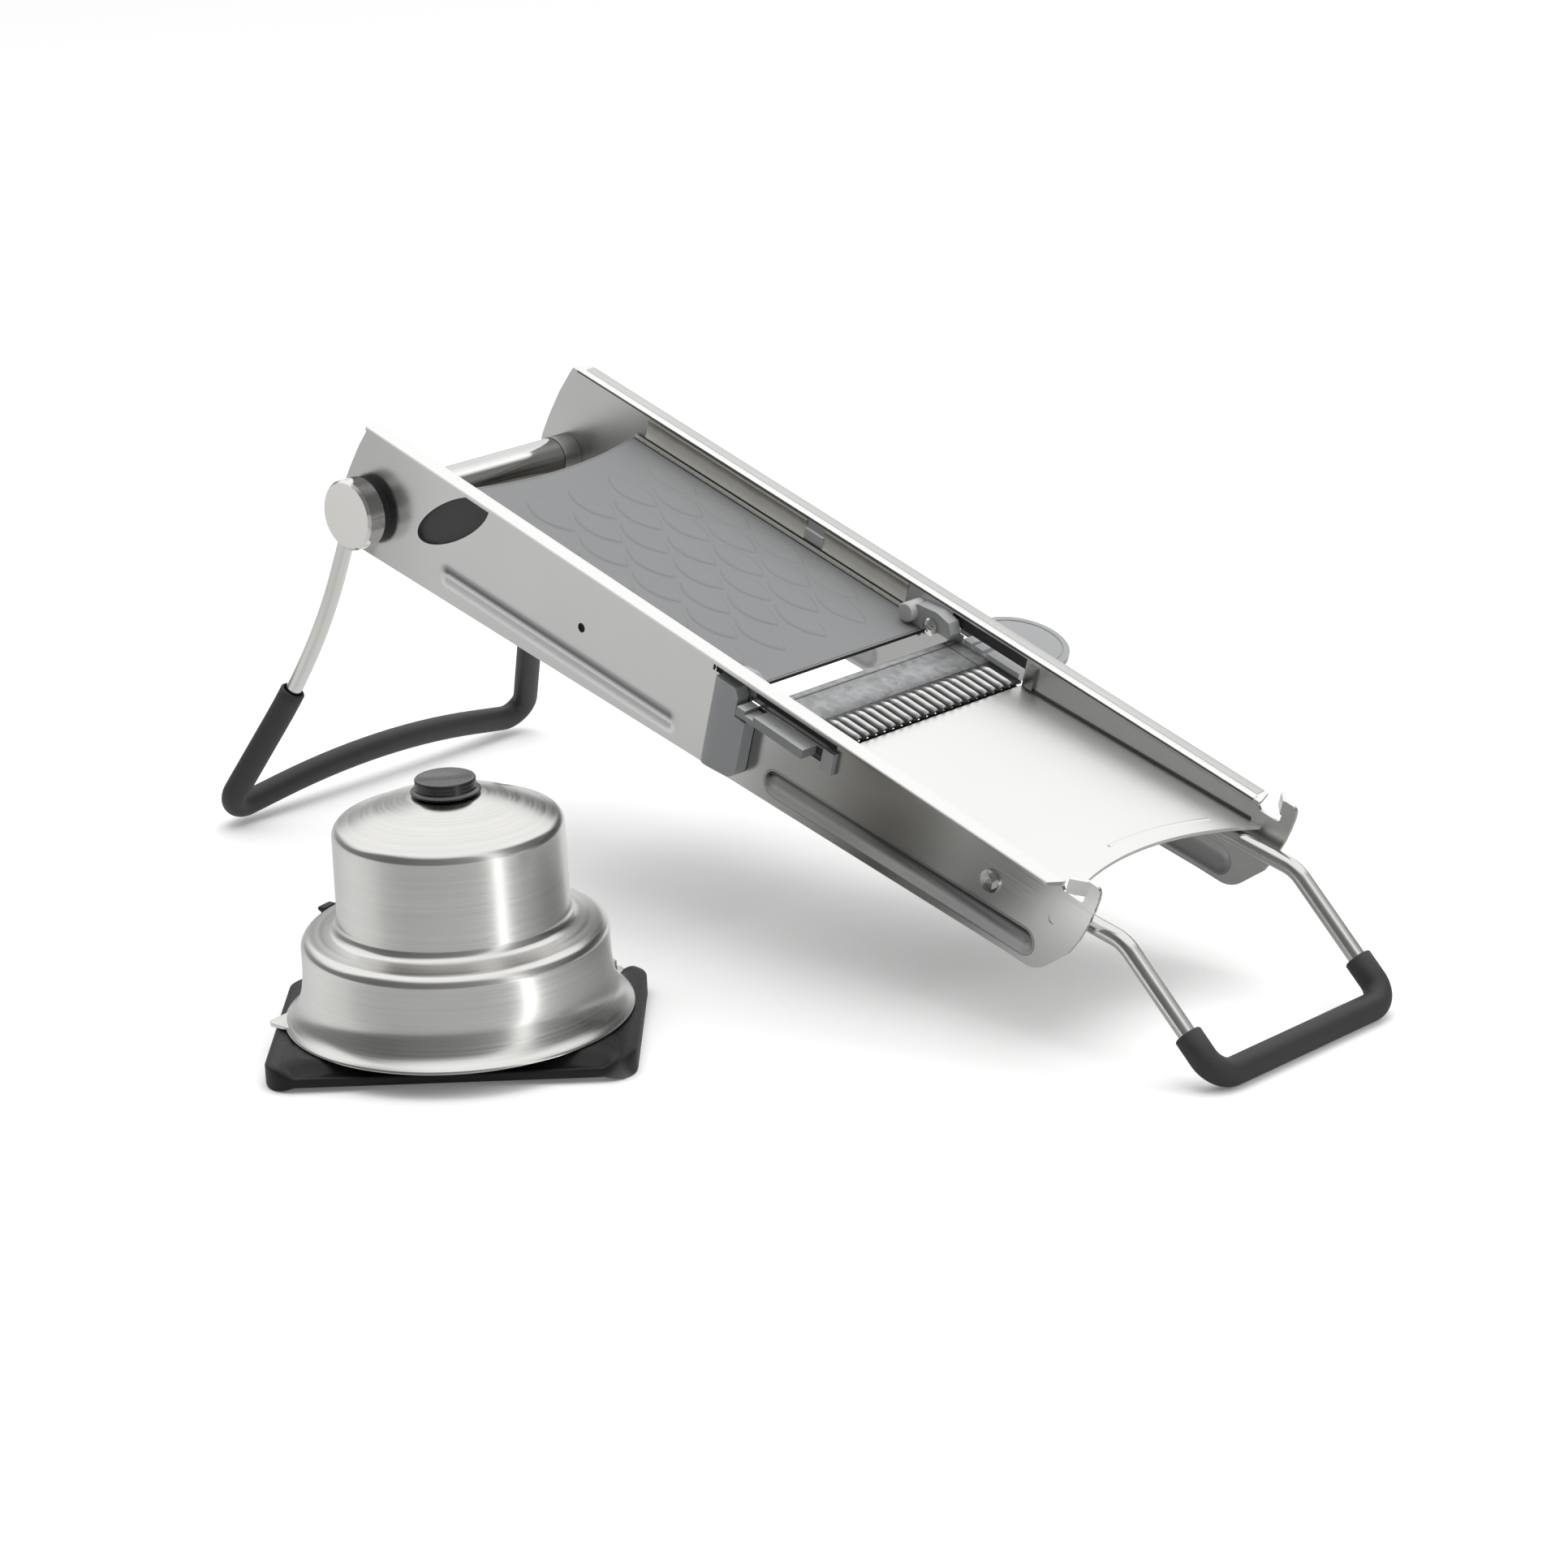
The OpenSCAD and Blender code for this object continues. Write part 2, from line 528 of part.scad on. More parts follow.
// Plunger: cap, stem, spiked disc and nut.
module pusher_cap() {
    color(rubber) at_pusher() translate([0, 0, dome_z + gap]) union() {
        cylinder(h = 1.7, r = 13.4);
        cylinder(h = 5.3, r = 11.5);
        translate([0, 0, 5.3]) cylinder(h = 0.8, r1 = 11.5, r2 = 10.7);
    }
}
disc_z = 22;
module pusher_stem() {
    color(polished) at_pusher() translate([0, 0, disc_z - 5]) cylinder(h = dome_z + gap - disc_z + 5, r = 3);
}
module pusher_disc() {
    color(rubber) at_pusher() difference() {
        union() {
            translate([0, 0, disc_z]) cylinder(h = 3, r = drum_r - 4);
            for (a = [0 : 60 : 300], r = [16, 30]) rotate([0, 0, a + r]) translate([r, 0, disc_z - 6])
                cylinder(h = 6.5, r1 = 0.5, r2 = 1.6, $fn = 24);
        }
        translate([0, 0, disc_z - 1]) cylinder(h = 6, r = 3);
    }
}
module pusher_nut() {
    color(steel) at_pusher() translate([0, 0, disc_z - 4]) difference() {
        cylinder(h = 4, r = 6, $fn = 6);
        translate([0, 0, -1]) cylinder(h = 6, r = 3);
    }
}

near_side_plate();
far_side_plate();
near_window_lug();
far_window_lug();
landing_plate();
cross_tube();
tube_rings();
near_washer();
far_washer();
ramp_pivot_pins();
front_pivot_bolts();
front_pivot_nuts();
near_hub();
far_hub();
rear_leg_rod();
rear_leg_sleeve();
front_leg_rod();
front_leg_sleeve();
ramp_plate();
near_ramp_bracket();
far_ramp_bracket();
ramp_screws();
thickness_lever();
blade_plate();
near_blade_bar();
far_blade_bar();
blade_grip();
pusher_shell();
pusher_carriage();
pusher_latch();
pusher_cap();
pusher_stem();
pusher_disc();
pusher_nut();
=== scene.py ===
"""Mandoline slicer with folding legs and a pusher beside it: the looks built around the CAD frame.

Lengths in this file are millimetres unless a name says otherwise; mm() turns them into metres.
Deck coordinates are (s, y, n): along the rails from the high end, across, and square to the rails.
"""

import json
import math

import bmesh
import bpy
from mathutils import Matrix, Vector


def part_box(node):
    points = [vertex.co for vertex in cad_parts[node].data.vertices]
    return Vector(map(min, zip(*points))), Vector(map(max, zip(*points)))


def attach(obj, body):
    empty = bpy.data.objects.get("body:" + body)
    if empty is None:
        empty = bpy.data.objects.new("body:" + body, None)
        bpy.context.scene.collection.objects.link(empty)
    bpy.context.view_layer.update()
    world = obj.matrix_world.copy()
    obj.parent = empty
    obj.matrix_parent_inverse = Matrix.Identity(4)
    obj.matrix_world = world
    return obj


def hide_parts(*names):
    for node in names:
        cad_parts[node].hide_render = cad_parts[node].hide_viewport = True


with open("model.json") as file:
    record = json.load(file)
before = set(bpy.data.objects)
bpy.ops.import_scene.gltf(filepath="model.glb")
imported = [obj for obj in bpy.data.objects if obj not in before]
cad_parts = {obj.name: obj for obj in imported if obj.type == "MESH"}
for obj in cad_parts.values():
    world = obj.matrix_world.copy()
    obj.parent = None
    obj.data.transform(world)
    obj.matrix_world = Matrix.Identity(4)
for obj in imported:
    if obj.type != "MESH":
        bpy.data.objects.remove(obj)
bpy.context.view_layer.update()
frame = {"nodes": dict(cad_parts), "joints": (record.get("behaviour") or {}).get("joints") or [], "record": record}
NODES = frame["nodes"]
MM = 0.001


# ---- places taken from the frame ----
def mm(*values):
    return Vector([v * MM for v in values])


def joint_place(name):
    return Vector(next(j["pos_m"] for j in frame["joints"] if j["name"] == name))


def mount_axis(name):
    return Vector(next(m["axis"] for m in frame["record"]["mounts"] if m["name"] == name)).normalized()


ACROSS = Vector((0, 1, 0))
ALONG = mount_axis("rail_run")
SQUARE = ALONG.cross(ACROSS)
HUB = (5.5, -39.7)              # hub axis in deck coordinates
CORNER = joint_place("rear_leg_fold") - ALONG * HUB[0] * MM - SQUARE * HUB[1] * MM
HALF_W = 57.8                   # outer faces of the side plates
INNER_W = 56.3                  # inner faces
LINED = INNER_W - 0.1           # dark stand-ins for shade stand just clear of the inner faces
DECK_DROP = 13.2                # deck below the rails
OVAL, OVAL_HALF = (56.2, -19.7), (25.8, 9.0)    # the near plate's opening: centre, half sizes
OVAL_TILT = math.radians(41)
HOLE, DIMPLE = (138, -28), (399.2, -17.2)       # small hole and mark in the near plate
BLADE_OPENING = (233, 276.5)    # reach of the openings beside the blade
BOSS = (216.4, -8.2)            # boss of the far stop bracket
LANDING_SLOPE = math.radians(2.2)
LANDING_LEAN = 0.0384           # the same slope as a rise per millimetre


def deck(s, y, n):
    return CORNER + ALONG * (s * MM) + ACROSS * (y * MM) + SQUARE * (n * MM)


STEM_LOW, STEM_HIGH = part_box("pusher_stem")
PUSHER = (STEM_LOW + STEM_HIGH) / 2
PUSHER_TURN = math.radians(43.9)


def drum(r, a, z):
    """A point by radius, angle in degrees from the pusher's own X and height."""
    t = PUSHER_TURN + math.radians(a)
    return Vector((PUSHER.x + r * MM * math.cos(t), PUSHER.y + r * MM * math.sin(t), z * MM))


def carriage(x, y, z):
    c, s = math.cos(PUSHER_TURN), math.sin(PUSHER_TURN)
    return Vector((PUSHER.x + MM * (x * c - y * s), PUSHER.y + MM * (x * s + y * c), z * MM))


# ---- materials ----
class Tree:
    """A node tree with short ways to add, set and join nodes."""

    def __init__(self, tree):
        self.tree = tree

    def node(self, kind, **values):
        """A new node; each value sets a field of the node or, where it has no such field, a socket."""
        made = self.tree.nodes.new(kind)
        for key, value in values.items():
            if hasattr(made, key):
                setattr(made, key, value)
            else:
                made.inputs[key.replace("_", " ")].default_value = value
        return made

    def link(self, a, b):
        self.tree.links.new(a, b)

    def maths(self, operation, a, b):
        """Two factors put together by one sum; b may be a plain number."""
        made = self.node("ShaderNodeMath", operation=operation)
        self.link(a, made.inputs[0])
        if isinstance(b, (int, float)):
            made.inputs[1].default_value = b
        else:
            self.link(b, made.inputs[1])
        return made.outputs[0]

    def part(self, vector, axis):
        """The X, Y or Z of a vector."""
        split = self.node("ShaderNodeSeparateXYZ")
        self.link(vector, split.inputs["Vector"])
        return split.outputs[axis]

    def group(self, tree, vector):
        made = self.node("ShaderNodeGroup", node_tree=tree)
        self.link(vector, made.inputs[0])
        return made.outputs[0]

    def mix(self, factor, colour, other):
        """Goes from one colour to another, fixed one with factor."""
        made = self.node("ShaderNodeMix", data_type="RGBA")
        self.link(factor, made.inputs["Factor"])
        self.link(colour, made.inputs["A"])
        made.inputs["B"].default_value = (*other, 1)
        return made.outputs["Result"]

    def stops(self, factor, stops):
        """Colour from a list of (position, colour) stops, eased between them."""
        ramp = self.node("ShaderNodeValToRGB")
        ramp.color_ramp.interpolation = "EASE"
        while len(ramp.color_ramp.elements) < len(stops):
            ramp.color_ramp.elements.new(0.5)
        for element, (place, colour) in zip(ramp.color_ramp.elements, stops):
            element.position = place
            element.color = (*colour, 1)
        self.link(factor, ramp.inputs["Fac"])
        return ramp.outputs["Color"]


class Shader(Tree):
    """One procedural material and the socket values it starts from."""

    def __init__(self, name, colour, rough, metal=0.0, **sockets):
        self.mat = bpy.data.materials.new(name)
        self.mat.use_nodes = True
        super().__init__(self.mat.node_tree)
        self.bsdf = self.tree.nodes["Principled BSDF"]
        self.set("Base Color", (*colour, 1))
        self.set("Roughness", rough)
        self.set("Metallic", metal)
        for key, value in sockets.items():
            self.set(key.replace("_", " "), value)
        self.colour = colour
        self.coords = self.node("ShaderNodeTexCoord").outputs["Object"]

    def set(self, socket, value):
        self.bsdf.inputs[socket].default_value = value

    def rough_from(self, factor, rough, spread=0.06):
        """Roughness that wanders by spread to both sides of rough."""
        self.link(self.between(factor, rough - spread, rough + spread), self.bsdf.inputs["Roughness"])

    def stretched(self, scale, turn=(0, 0, 0)):
        """Object coordinates turned and scaled, for grain with a direction."""
        m = self.node("ShaderNodeMapping", vector_type="TEXTURE")
        m.inputs["Rotation"].default_value = turn
        m.inputs["Scale"].default_value = scale
        self.link(self.coords, m.inputs["Vector"])
        return m.outputs["Vector"]

    def noise(self, scale, detail, coords=None):
        n = self.node("ShaderNodeTexNoise", Scale=scale, Detail=detail)
        self.link(coords or self.coords, n.inputs["Vector"])
        return n.outputs["Fac"]

    def between(self, factor, low, high, from_low=0.3, from_high=0.7):
        m = self.node("ShaderNodeMapRange", From_Min=from_low, From_Max=from_high, To_Min=low, To_Max=high)
        self.link(factor, m.inputs["Value"])
        return m.outputs["Result"]

    def tint(self, factor, low, high):
        """Base colour going from low to high times the colour with factor."""
        mix = self.node("ShaderNodeMix", data_type="RGBA")
        mix.inputs["A"].default_value = (*[c * low for c in self.colour], 1)
        mix.inputs["B"].default_value = (*[c * high for c in self.colour], 1)
        self.link(factor, mix.inputs["Factor"])
        colour = mix.outputs["Result"]
        self.link(colour, self.bsdf.inputs["Base Color"])
        return colour

    def normal_part(self, axis):
        """One part of the surface normal, from -1 to 1; axis is a letter or a direction."""
        normal = self.node("ShaderNodeNewGeometry").outputs["Normal"]
        if isinstance(axis, str):
            return self.part(normal, axis)
        dot = self.node("ShaderNodeVectorMath", operation="DOT_PRODUCT")
        self.link(normal, dot.inputs[0])
        dot.inputs[1].default_value = axis
        return dot.outputs["Value"]

    def along(self, axis, low, high):
        """Place along a deck direction: 0 at low and 1 at high, in millimetres of deck coordinates."""
        dot = self.node("ShaderNodeVectorMath", operation="DOT_PRODUCT")
        self.link(self.coords, dot.inputs[0])
        dot.inputs[1].default_value = axis
        base = CORNER.dot(axis)
        return self.between(dot.outputs["Value"], 0, 1, base + low * MM, base + high * MM)

    def ramp(self, factor, stops):
        """Base colour from a list of (position, colour) stops."""
        colour = self.stops(factor, stops)
        self.link(colour, self.bsdf.inputs["Base Color"])
        return colour

    def paint_top_highlight(self, colour, top):
        """Turns the base colour to a painted highlight colour on faces that look up."""
        upward = self.between(self.normal_part("Z"), 0, 1, 0.5, 0.9)
        self.link(self.mix(upward, colour, top), self.bsdf.inputs["Base Color"])

    def bump(self, height, distance, strength=1.0):
        b = self.node("ShaderNodeBump", Strength=strength, Distance=distance)
        self.link(height, b.inputs["Height"])
        self.link(b.outputs["Normal"], self.bsdf.inputs["Normal"])


SLOPE_TURN = (0, math.atan2(-ALONG.z, ALONG.x), 0)


def brushed_steel(name, colour, rough, low, high, grain=(0.08, 0.0006, 0.0006), top=None, length=None):
    """Steel with fine lines along the rails and slow cloudy changes; top is a painted highlight colour for faces
    turned up, length lists (s in millimetres, colour) of painted shade and painted reflection along the rails."""
    sh = Shader(name, colour, rough, 1.0)
    lines = sh.noise(1.0, 4, sh.stretched(grain, SLOPE_TURN))
    clouds = sh.noise(22, 3)
    both = sh.maths("ADD", sh.between(lines, 0, 0.5), sh.between(clouds, 0, 0.5))
    body = sh.tint(both, low, high)
    # painted shade and painted reflection along the rails, multiplied with the grain
    if length:
        shade_along_rails = sh.ramp(sh.along(ALONG, 0, 420), [(s / 420, colour) for s, colour in length])
        cloudy = sh.node("ShaderNodeMix", data_type="RGBA", blend_type="MULTIPLY")
        cloudy.inputs["Factor"].default_value = 1.0
        sh.link(shade_along_rails, cloudy.inputs["A"])
        sh.link(sh.between(both, low, high, 0, 1), cloudy.inputs["B"])
        body = cloudy.outputs["Result"]
        sh.link(body, sh.bsdf.inputs["Base Color"])
    if top:
        sh.paint_top_highlight(body, top)
    sh.rough_from(lines, rough, 0.03)
    sh.bump(lines, 0.00001, 0.15)
    return sh.mat


def pressed_steel(name, down, flat, up, rough):
    """Steel of a pressed channel: painted shade where it turns down to the floor's shade, painted highlight where
    it turns up.
    """
    sh = Shader(name, (1, 1, 1), rough, 1.0)
    tilt = sh.between(sh.normal_part("Z"), 0, 1, -0.4, 0.4)
    levels = ((0.0, down), (0.15, down * 1.2), (0.5, flat), (0.7, up), (1.0, up))
    sh.ramp(tilt, [(place, [level] * 3) for place, level in levels])
    sh.rough_from(sh.noise(60, 3), rough, 0.03)
    sh.link(sh.between(tilt, 1.0, 0.35, 0.52, 0.75), sh.bsdf.inputs["Metallic"])
    return sh.mat


def painted_reflection_chrome(name, rough):
    """Chromed tube with a painted reflection: bright above, dark below its middle."""
    sh = Shader(name, (1, 1, 1), rough, 1.0)
    cloud = sh.noise(40, 4, sh.stretched((1, 4, 1)))
    place = sh.maths("ADD", sh.between(sh.normal_part("Z"), 0, 1, -1, 1), sh.between(cloud, -0.05, 0.05))
    sh.ramp(place, [(0.0, (0.16, 0.15, 0.13)), (0.4, (0.1, 0.095, 0.08)), (0.52, (0.24, 0.235, 0.21)),
                    (0.6, (0.78, 0.77, 0.74)), (0.82, (0.85, 0.85, 0.83)), (1.0, (0.55, 0.55, 0.54))])
    sh.link(sh.between(cloud, rough - 0.02, rough + 0.04), sh.bsdf.inputs["Roughness"])
    return sh.mat


def topped(name, colour, top, rough):
    """Moulded plastic whose upward faces carry a painted, lighter sheen."""
    sh = Shader(name, colour, rough)
    grain = sh.noise(900, 3)
    sh.paint_top_highlight(sh.tint(grain, 0.9, 1.1), top)
    sh.rough_from(grain, rough, 0.04)
    sh.bump(grain, 0.00001, 0.4)
    return sh.mat


def wave_steel(name):
    """The blade's waves: ground crests with a painted highlight, and painted shade in the valleys between them."""
    sh = Shader(name, (1, 1, 1), 0.3, 0.8)
    sh.ramp(sh.along(SQUARE, -14.0, -11.3), [(0.0, (0.03, 0.03, 0.03)), (0.34, (0.07, 0.07, 0.07)),
                                             (0.52, (0.3, 0.3, 0.295)), (0.72, (0.8, 0.8, 0.79)),
                                             (1.0, (0.82, 0.82, 0.81))])
    grain = sh.noise(700, 4)
    sh.link(sh.between(grain, 0.25, 0.38), sh.bsdf.inputs["Roughness"])
    sh.bump(grain, 0.00002, 0.3)
    return sh.mat


def shaded_recess(name, dark, light, low, high):
    """A folded recess with painted shade: light at its foot, going dark under the rail."""
    sh = Shader(name, (1, 1, 1), 0.35, 0.6)
    cloud = sh.noise(90, 3)
    height = sh.maths("ADD", sh.along(SQUARE, low, high), sh.between(cloud, -0.06, 0.06))
    sh.ramp(height, [(0.0, light), (0.45, [c * 0.8 for c in light]), (0.8, dark), (1.0, dark)])
    sh.rough_from(cloud, 0.35, 0.05)
    sh.bump(cloud, 0.00002, 0.3)
    return sh.mat


def drum_steel(name, colour, rough):
    """Spun steel: fine rings round the pusher's axis and highlights drawn out up and down."""
    sh = Shader(name, colour, rough, 1.0, Anisotropic=0.75)
    tangent = sh.node("ShaderNodeTangent", direction_type="RADIAL", axis="Z")
    sh.link(tangent.outputs["Tangent"], sh.bsdf.inputs["Tangent"])
    rings = sh.noise(1.0, 5, sh.stretched((0.4, 0.4, 0.0003)))
    clouds = sh.noise(30, 3, sh.stretched((1.0, 1.0, 0.25)))
    sh.tint(sh.maths("ADD", sh.between(rings, 0, 0.7), sh.between(clouds, 0, 0.3)), 0.9, 1.05)
    sh.rough_from(rings, rough, 0.04)
    sh.bump(rings, 0.00001, 0.3)
    return sh.mat


def mottled_steel(name, colour, rough):
    """Cold grey sheet with the flaky look of galvanised steel."""
    sh = Shader(name, colour, rough, 0.7)
    cells = sh.node("ShaderNodeTexVoronoi", Scale=420)
    sh.link(sh.coords, cells.inputs["Vector"])
    flakes = sh.node("ShaderNodeSeparateColor")
    sh.link(cells.outputs["Color"], flakes.inputs["Color"])
    cloud = sh.noise(260, 5)
    both = sh.maths("ADD", sh.between(flakes.outputs["Red"], 0, 0.45, 0, 1), sh.between(cloud, 0, 0.55))
    sh.tint(both, 0.75, 1.3)
    sh.rough_from(cloud, rough)
    sh.bump(cloud, 0.00003, 0.25)
    return sh.mat


def satin(name, colour, rough, spread, scale=900, bump=0.00002, metal=0.0, **sockets):
    """Cast, coated or moulded surface with a fine even grain."""
    sh = Shader(name, colour, rough, metal, **sockets)
    grain = sh.noise(scale, 3)
    cloud = sh.noise(25, 2)
    both = sh.maths("ADD", sh.between(grain, 0, 0.6), sh.between(cloud, 0, 0.4))
    sh.tint(both, 1 - spread, 1 + spread)
    sh.rough_from(grain, rough)
    sh.bump(grain, bump, 0.6)
    return sh.mat


def grey(level):
    return (level, level, 0.98 * level)


# painted highlight colour for faces turned up
TOP_HIGHLIGHT = grey(0.8)
# painted highlight on upward faces; painted shade near the hub and from s 255 to 355, with a warm painted
# reflection of the pusher at s 310
PLATE = brushed_steel("plate_steel", grey(0.6), 0.24, 0.97, 1.03, top=TOP_HIGHLIGHT, length=(
    (0, grey(0.5)), (60, grey(0.6)), (215, grey(0.58)), (255, grey(0.42)), (310, (0.27, 0.265, 0.245)),
    (355, grey(0.44)), (400, grey(0.64))))
# painted highlight on upward faces; painted light at the high end, painted shade from s 80 on, fading towards the
# low end
FAR_WALL = brushed_steel("shaded_steel", grey(0.42), 0.34, 0.95, 1.05, top=TOP_HIGHLIGHT, length=(
    (0, grey(0.6)), (36, grey(0.6)), (80, grey(0.46)), (250, grey(0.54)), (420, grey(0.62))))
# painted highlight colour for the far rail's bend
EDGE_HIGHLIGHT = satin("painted_edge_highlight", grey(0.86), 0.25, 0.03, metal=1.0)
RAIL = brushed_steel("rail_steel", grey(0.58), 0.35, 0.9, 1.06, grain=(0.0012, 0.02, 0.02))
LANDING = brushed_steel("landing_steel", grey(0.82), 0.4, 0.98, 1.01)
# pressed channels with painted shade on walls turned down and a painted highlight on walls turned up; the second
# is a darker, shaded copy
CHANNEL = pressed_steel("pressed_channel", 0.12, 0.58, 0.8, 0.24)
SHADED_CHANNEL = pressed_steel("pressed_channel_shaded", 0.03, 0.26, 0.42, 0.24)
FAR_CHANNEL = pressed_steel("pressed_bulge", 0.22, 0.38, 0.55, 0.34)
ROD = satin("rod_steel", (0.66, 0.655, 0.635), 0.15, 0.04, 60, 0.00001, 1.0)
POLISHED = satin("polished_steel", (0.72, 0.71, 0.69), 0.1, 0.04, metal=1.0)
TUBE = painted_reflection_chrome("tube_chrome", 0.1)
COLLAR = satin("tube_collar", (0.3, 0.3, 0.29), 0.35, 0.06, 300, metal=0.8)
DRUM = drum_steel("spun_steel", (0.7, 0.695, 0.675), 0.22)
BLADE = mottled_steel("blade_sheet", (0.37, 0.375, 0.38), 0.6)
WAVY = wave_steel("wave_steel")
COATING = satin("ramp_coating", (0.205, 0.208, 0.212), 0.5, 0.03, 1500)
KHAKI = shaded_recess("recess_lining", (0.34, 0.325, 0.275), (0.9, 0.88, 0.8), -10.2, -0.4)
# painted highlight on the bar's top faces
BAR = topped("bar_grey", (0.22, 0.225, 0.23), (0.85, 0.86, 0.87), 0.38)
FAR_BAR = satin("far_bar_grey", (0.5, 0.51, 0.52), 0.38, 0.05, 700, 0.00003)
BRACKET = satin("bracket_grey", (0.33, 0.335, 0.34), 0.38, 0.05, 700, 0.00003)
PALE = satin("pale_plastic", (0.44, 0.44, 0.425), 0.4, 0.03)
CAST = satin("cast_grey", (0.29, 0.298, 0.307), 0.34, 0.06, 700, 0.00003)
GRIP = satin("grip_grey", (0.3, 0.305, 0.31), 0.42, 0.04, 700, 0.00003)
RUBBER = satin("rubber_sleeve", (0.028, 0.028, 0.03), 0.55, 0.15, 1200, 0.00003)
BLACK = satin("black_plastic", (0.012, 0.012, 0.0125), 0.45, 0.15, Specular_IOR_Level=0.3)
# painted sheen on the knob's top faces
GLOSS = topped("knob_plastic", (0.014, 0.014, 0.0145), (0.1, 0.1, 0.105), 0.25)
# dark used both for painted shade behind openings and in gaps, and for fine dark lines such as grooves, seams and
# scribes
SHADE_AND_LINE_DARK = satin("inner_dark", (0.035, 0.036, 0.038), 0.5, 0.3, 60)
CREAM = satin("folded_edge", (0.66, 0.655, 0.61), 0.3, 0.06, 200, metal=0.5)


def dress(material, *nodes):
    for name in nodes:
        mesh = NODES[name].data
        mesh.materials.clear()
        mesh.materials.append(material)


# ---- making meshes ----
def piece(name, verts, faces, body, slot, material, crease=35):
    """A new object from points and faces, riding on a body, smooth except at edges over crease degrees."""
    mesh = bpy.data.meshes.new(name)
    mesh.from_pydata([tuple(v) for v in verts], [], faces)
    work = bmesh.new()
    work.from_mesh(mesh)
    bmesh.ops.remove_doubles(work, verts=work.verts, dist=1e-6)
    bmesh.ops.recalc_face_normals(work, faces=work.faces)
    work.to_mesh(mesh)
    work.free()
    mesh.shade_smooth()
    mesh.set_sharp_from_angle(angle=math.radians(crease))
    mesh.materials.append(material)
    obj = bpy.data.objects.new(name, mesh)
    bpy.context.scene.collection.objects.link(obj)
    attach(obj, body)
    return obj


def arc(centre, radius, start, end, steps):
    """Points of an arc in a plane, angles in degrees."""
    turn = [math.radians(start + (end - start) * i / steps) for i in range(steps + 1)]
    return [(centre[0] + radius * math.cos(t), centre[1] + radius * math.sin(t)) for t in turn]


def rings(loops, first=True, last=True, joined=True):
    """Verts and faces through loops of equal length: caps at first and last, each loop joined up."""
    count = len(loops[0])
    verts = [p for loop in loops for p in loop]
    faces = []
    for i in range(len(loops) - 1):
        for k in range(count if joined else count - 1):
            a, b = i * count + k, i * count + (k + 1) % count
            faces.append((a, b, b + count, a + count))
    if first:
        faces.append(tuple(range(count - 1, -1, -1)))
    if last:
        faces.append(tuple(range((len(loops) - 1) * count, len(loops) * count)))
    return verts, faces


def tube(loops):
    """Verts and faces round loops, open at both ends."""
    return rings(loops, first=False, last=False)


def open_sheet(loops):
    """Verts and faces of a sheet between rows of points."""
    return rings(loops, first=False, last=False, joined=False)


def lathe(profile, place, steps=128):
    """A closed profile of (radius, height) turned round an axis; place(r, degrees, z) gives the point."""
    loops = [[place(r, 360 * k / steps, z) for r, z in profile] for k in range(steps)]
    return tube([*loops, loops[0]])


def rounded_path(points, radii, steps=14):
    """A path through points whose inner corners are rounded to the given radii."""
    out = [points[0]]
    for i, radius in zip(range(1, len(points) - 1), radii):
        into = (points[i] - points[i - 1]).normalized()
        away = (points[i + 1] - points[i]).normalized()
        angle = into.angle(away)
        axis = into.cross(away).normalized()
        side = axis.cross(into).normalized()
        start = points[i] - into * radius * math.tan(angle / 2)
        centre = start + side * radius
        for k in range(steps + 1):
            out.append(centre + Matrix.Rotation(angle * k / steps, 3, axis) @ (start - centre))
    out.append(points[-1])
    return out


def shortened(path, off_start, off_end):
    """A path with a length taken off its start and its end, with new end points there."""
    lengths = [0.0]
    for a, b in zip(path, path[1:]):
        lengths.append(lengths[-1] + (b - a).length)
    low, high = off_start, lengths[-1] - off_end

    def at(d):
        for i in range(len(path) - 1):
            if lengths[i] <= d <= lengths[i + 1]:
                step = max(1e-9, lengths[i + 1] - lengths[i])
                return path[i].lerp(path[i + 1], (d - lengths[i]) / step)
        return path[-1]

    inner = [p for p, d in zip(path, lengths) if low + 1e-4 < d < high - 1e-4]
    return [at(low), *inner, at(high)]


def between_points(table, s):
    """Value at s on straight lines through (s, value) pairs."""
    for (a, low), (b, high) in zip(table, table[1:]):
        if a <= s <= b:
            return low + (high - low) * (s - a) / max(1e-9, b - a)
    return table[-1][1]


def eased(share):
    """A share from 0 to 1, held at both and eased between."""
    share = min(1.0, max(0.0, share))
    return share * share * (3 - 2 * share)


def follow(path, i, last, helper):
    """Two directions square to a path at its point i; the first keeps as near as it can to the last."""
    before, after = path[max(i - 1, 0)], path[min(i + 1, len(path) - 1)]
    tangent = (after - before).normalized()
    if last is None:
        last = tangent.cross(helper).normalized()
    side = (last - tangent * last.dot(tangent)).normalized()
    return side, tangent.cross(side)


def hoop(centre, side, other, radius, sides):
    """Points round a centre, in the plane of two directions."""
    turn = [2 * math.pi * k / sides for k in range(sides)]
    return [centre + (side * math.cos(t) + other * math.sin(t)) * radius for t in turn]


def sweep(path, radius, sides=32):
    """A round bar along a path."""
    loops, last = [], None
    for i, centre in enumerate(path):
        last, other = follow(path, i, last, Vector((0, 0, 1)))
        loops.append(hoop(centre, last, other, radius, sides))
    return rings(loops)


def box_section(y, n):
    """The four corners between two places across and two square to the rails."""
    return [(y[0], n[0]), (y[1], n[0]), (y[1], n[1]), (y[0], n[1])]


def bevel(obj, width, segments=3, angle=30):
    """Rounds the edges of an object that are sharper than an angle."""
    m = obj.modifiers.new("round_edges", "BEVEL")
    m.width = width * MM
    m.segments = segments
    m.limit_method = "ANGLE"
    m.angle_limit = math.radians(angle)
    return obj


def soften(width, *nodes):
    for name in nodes:
        bevel(NODES[name], width, 2, 35)


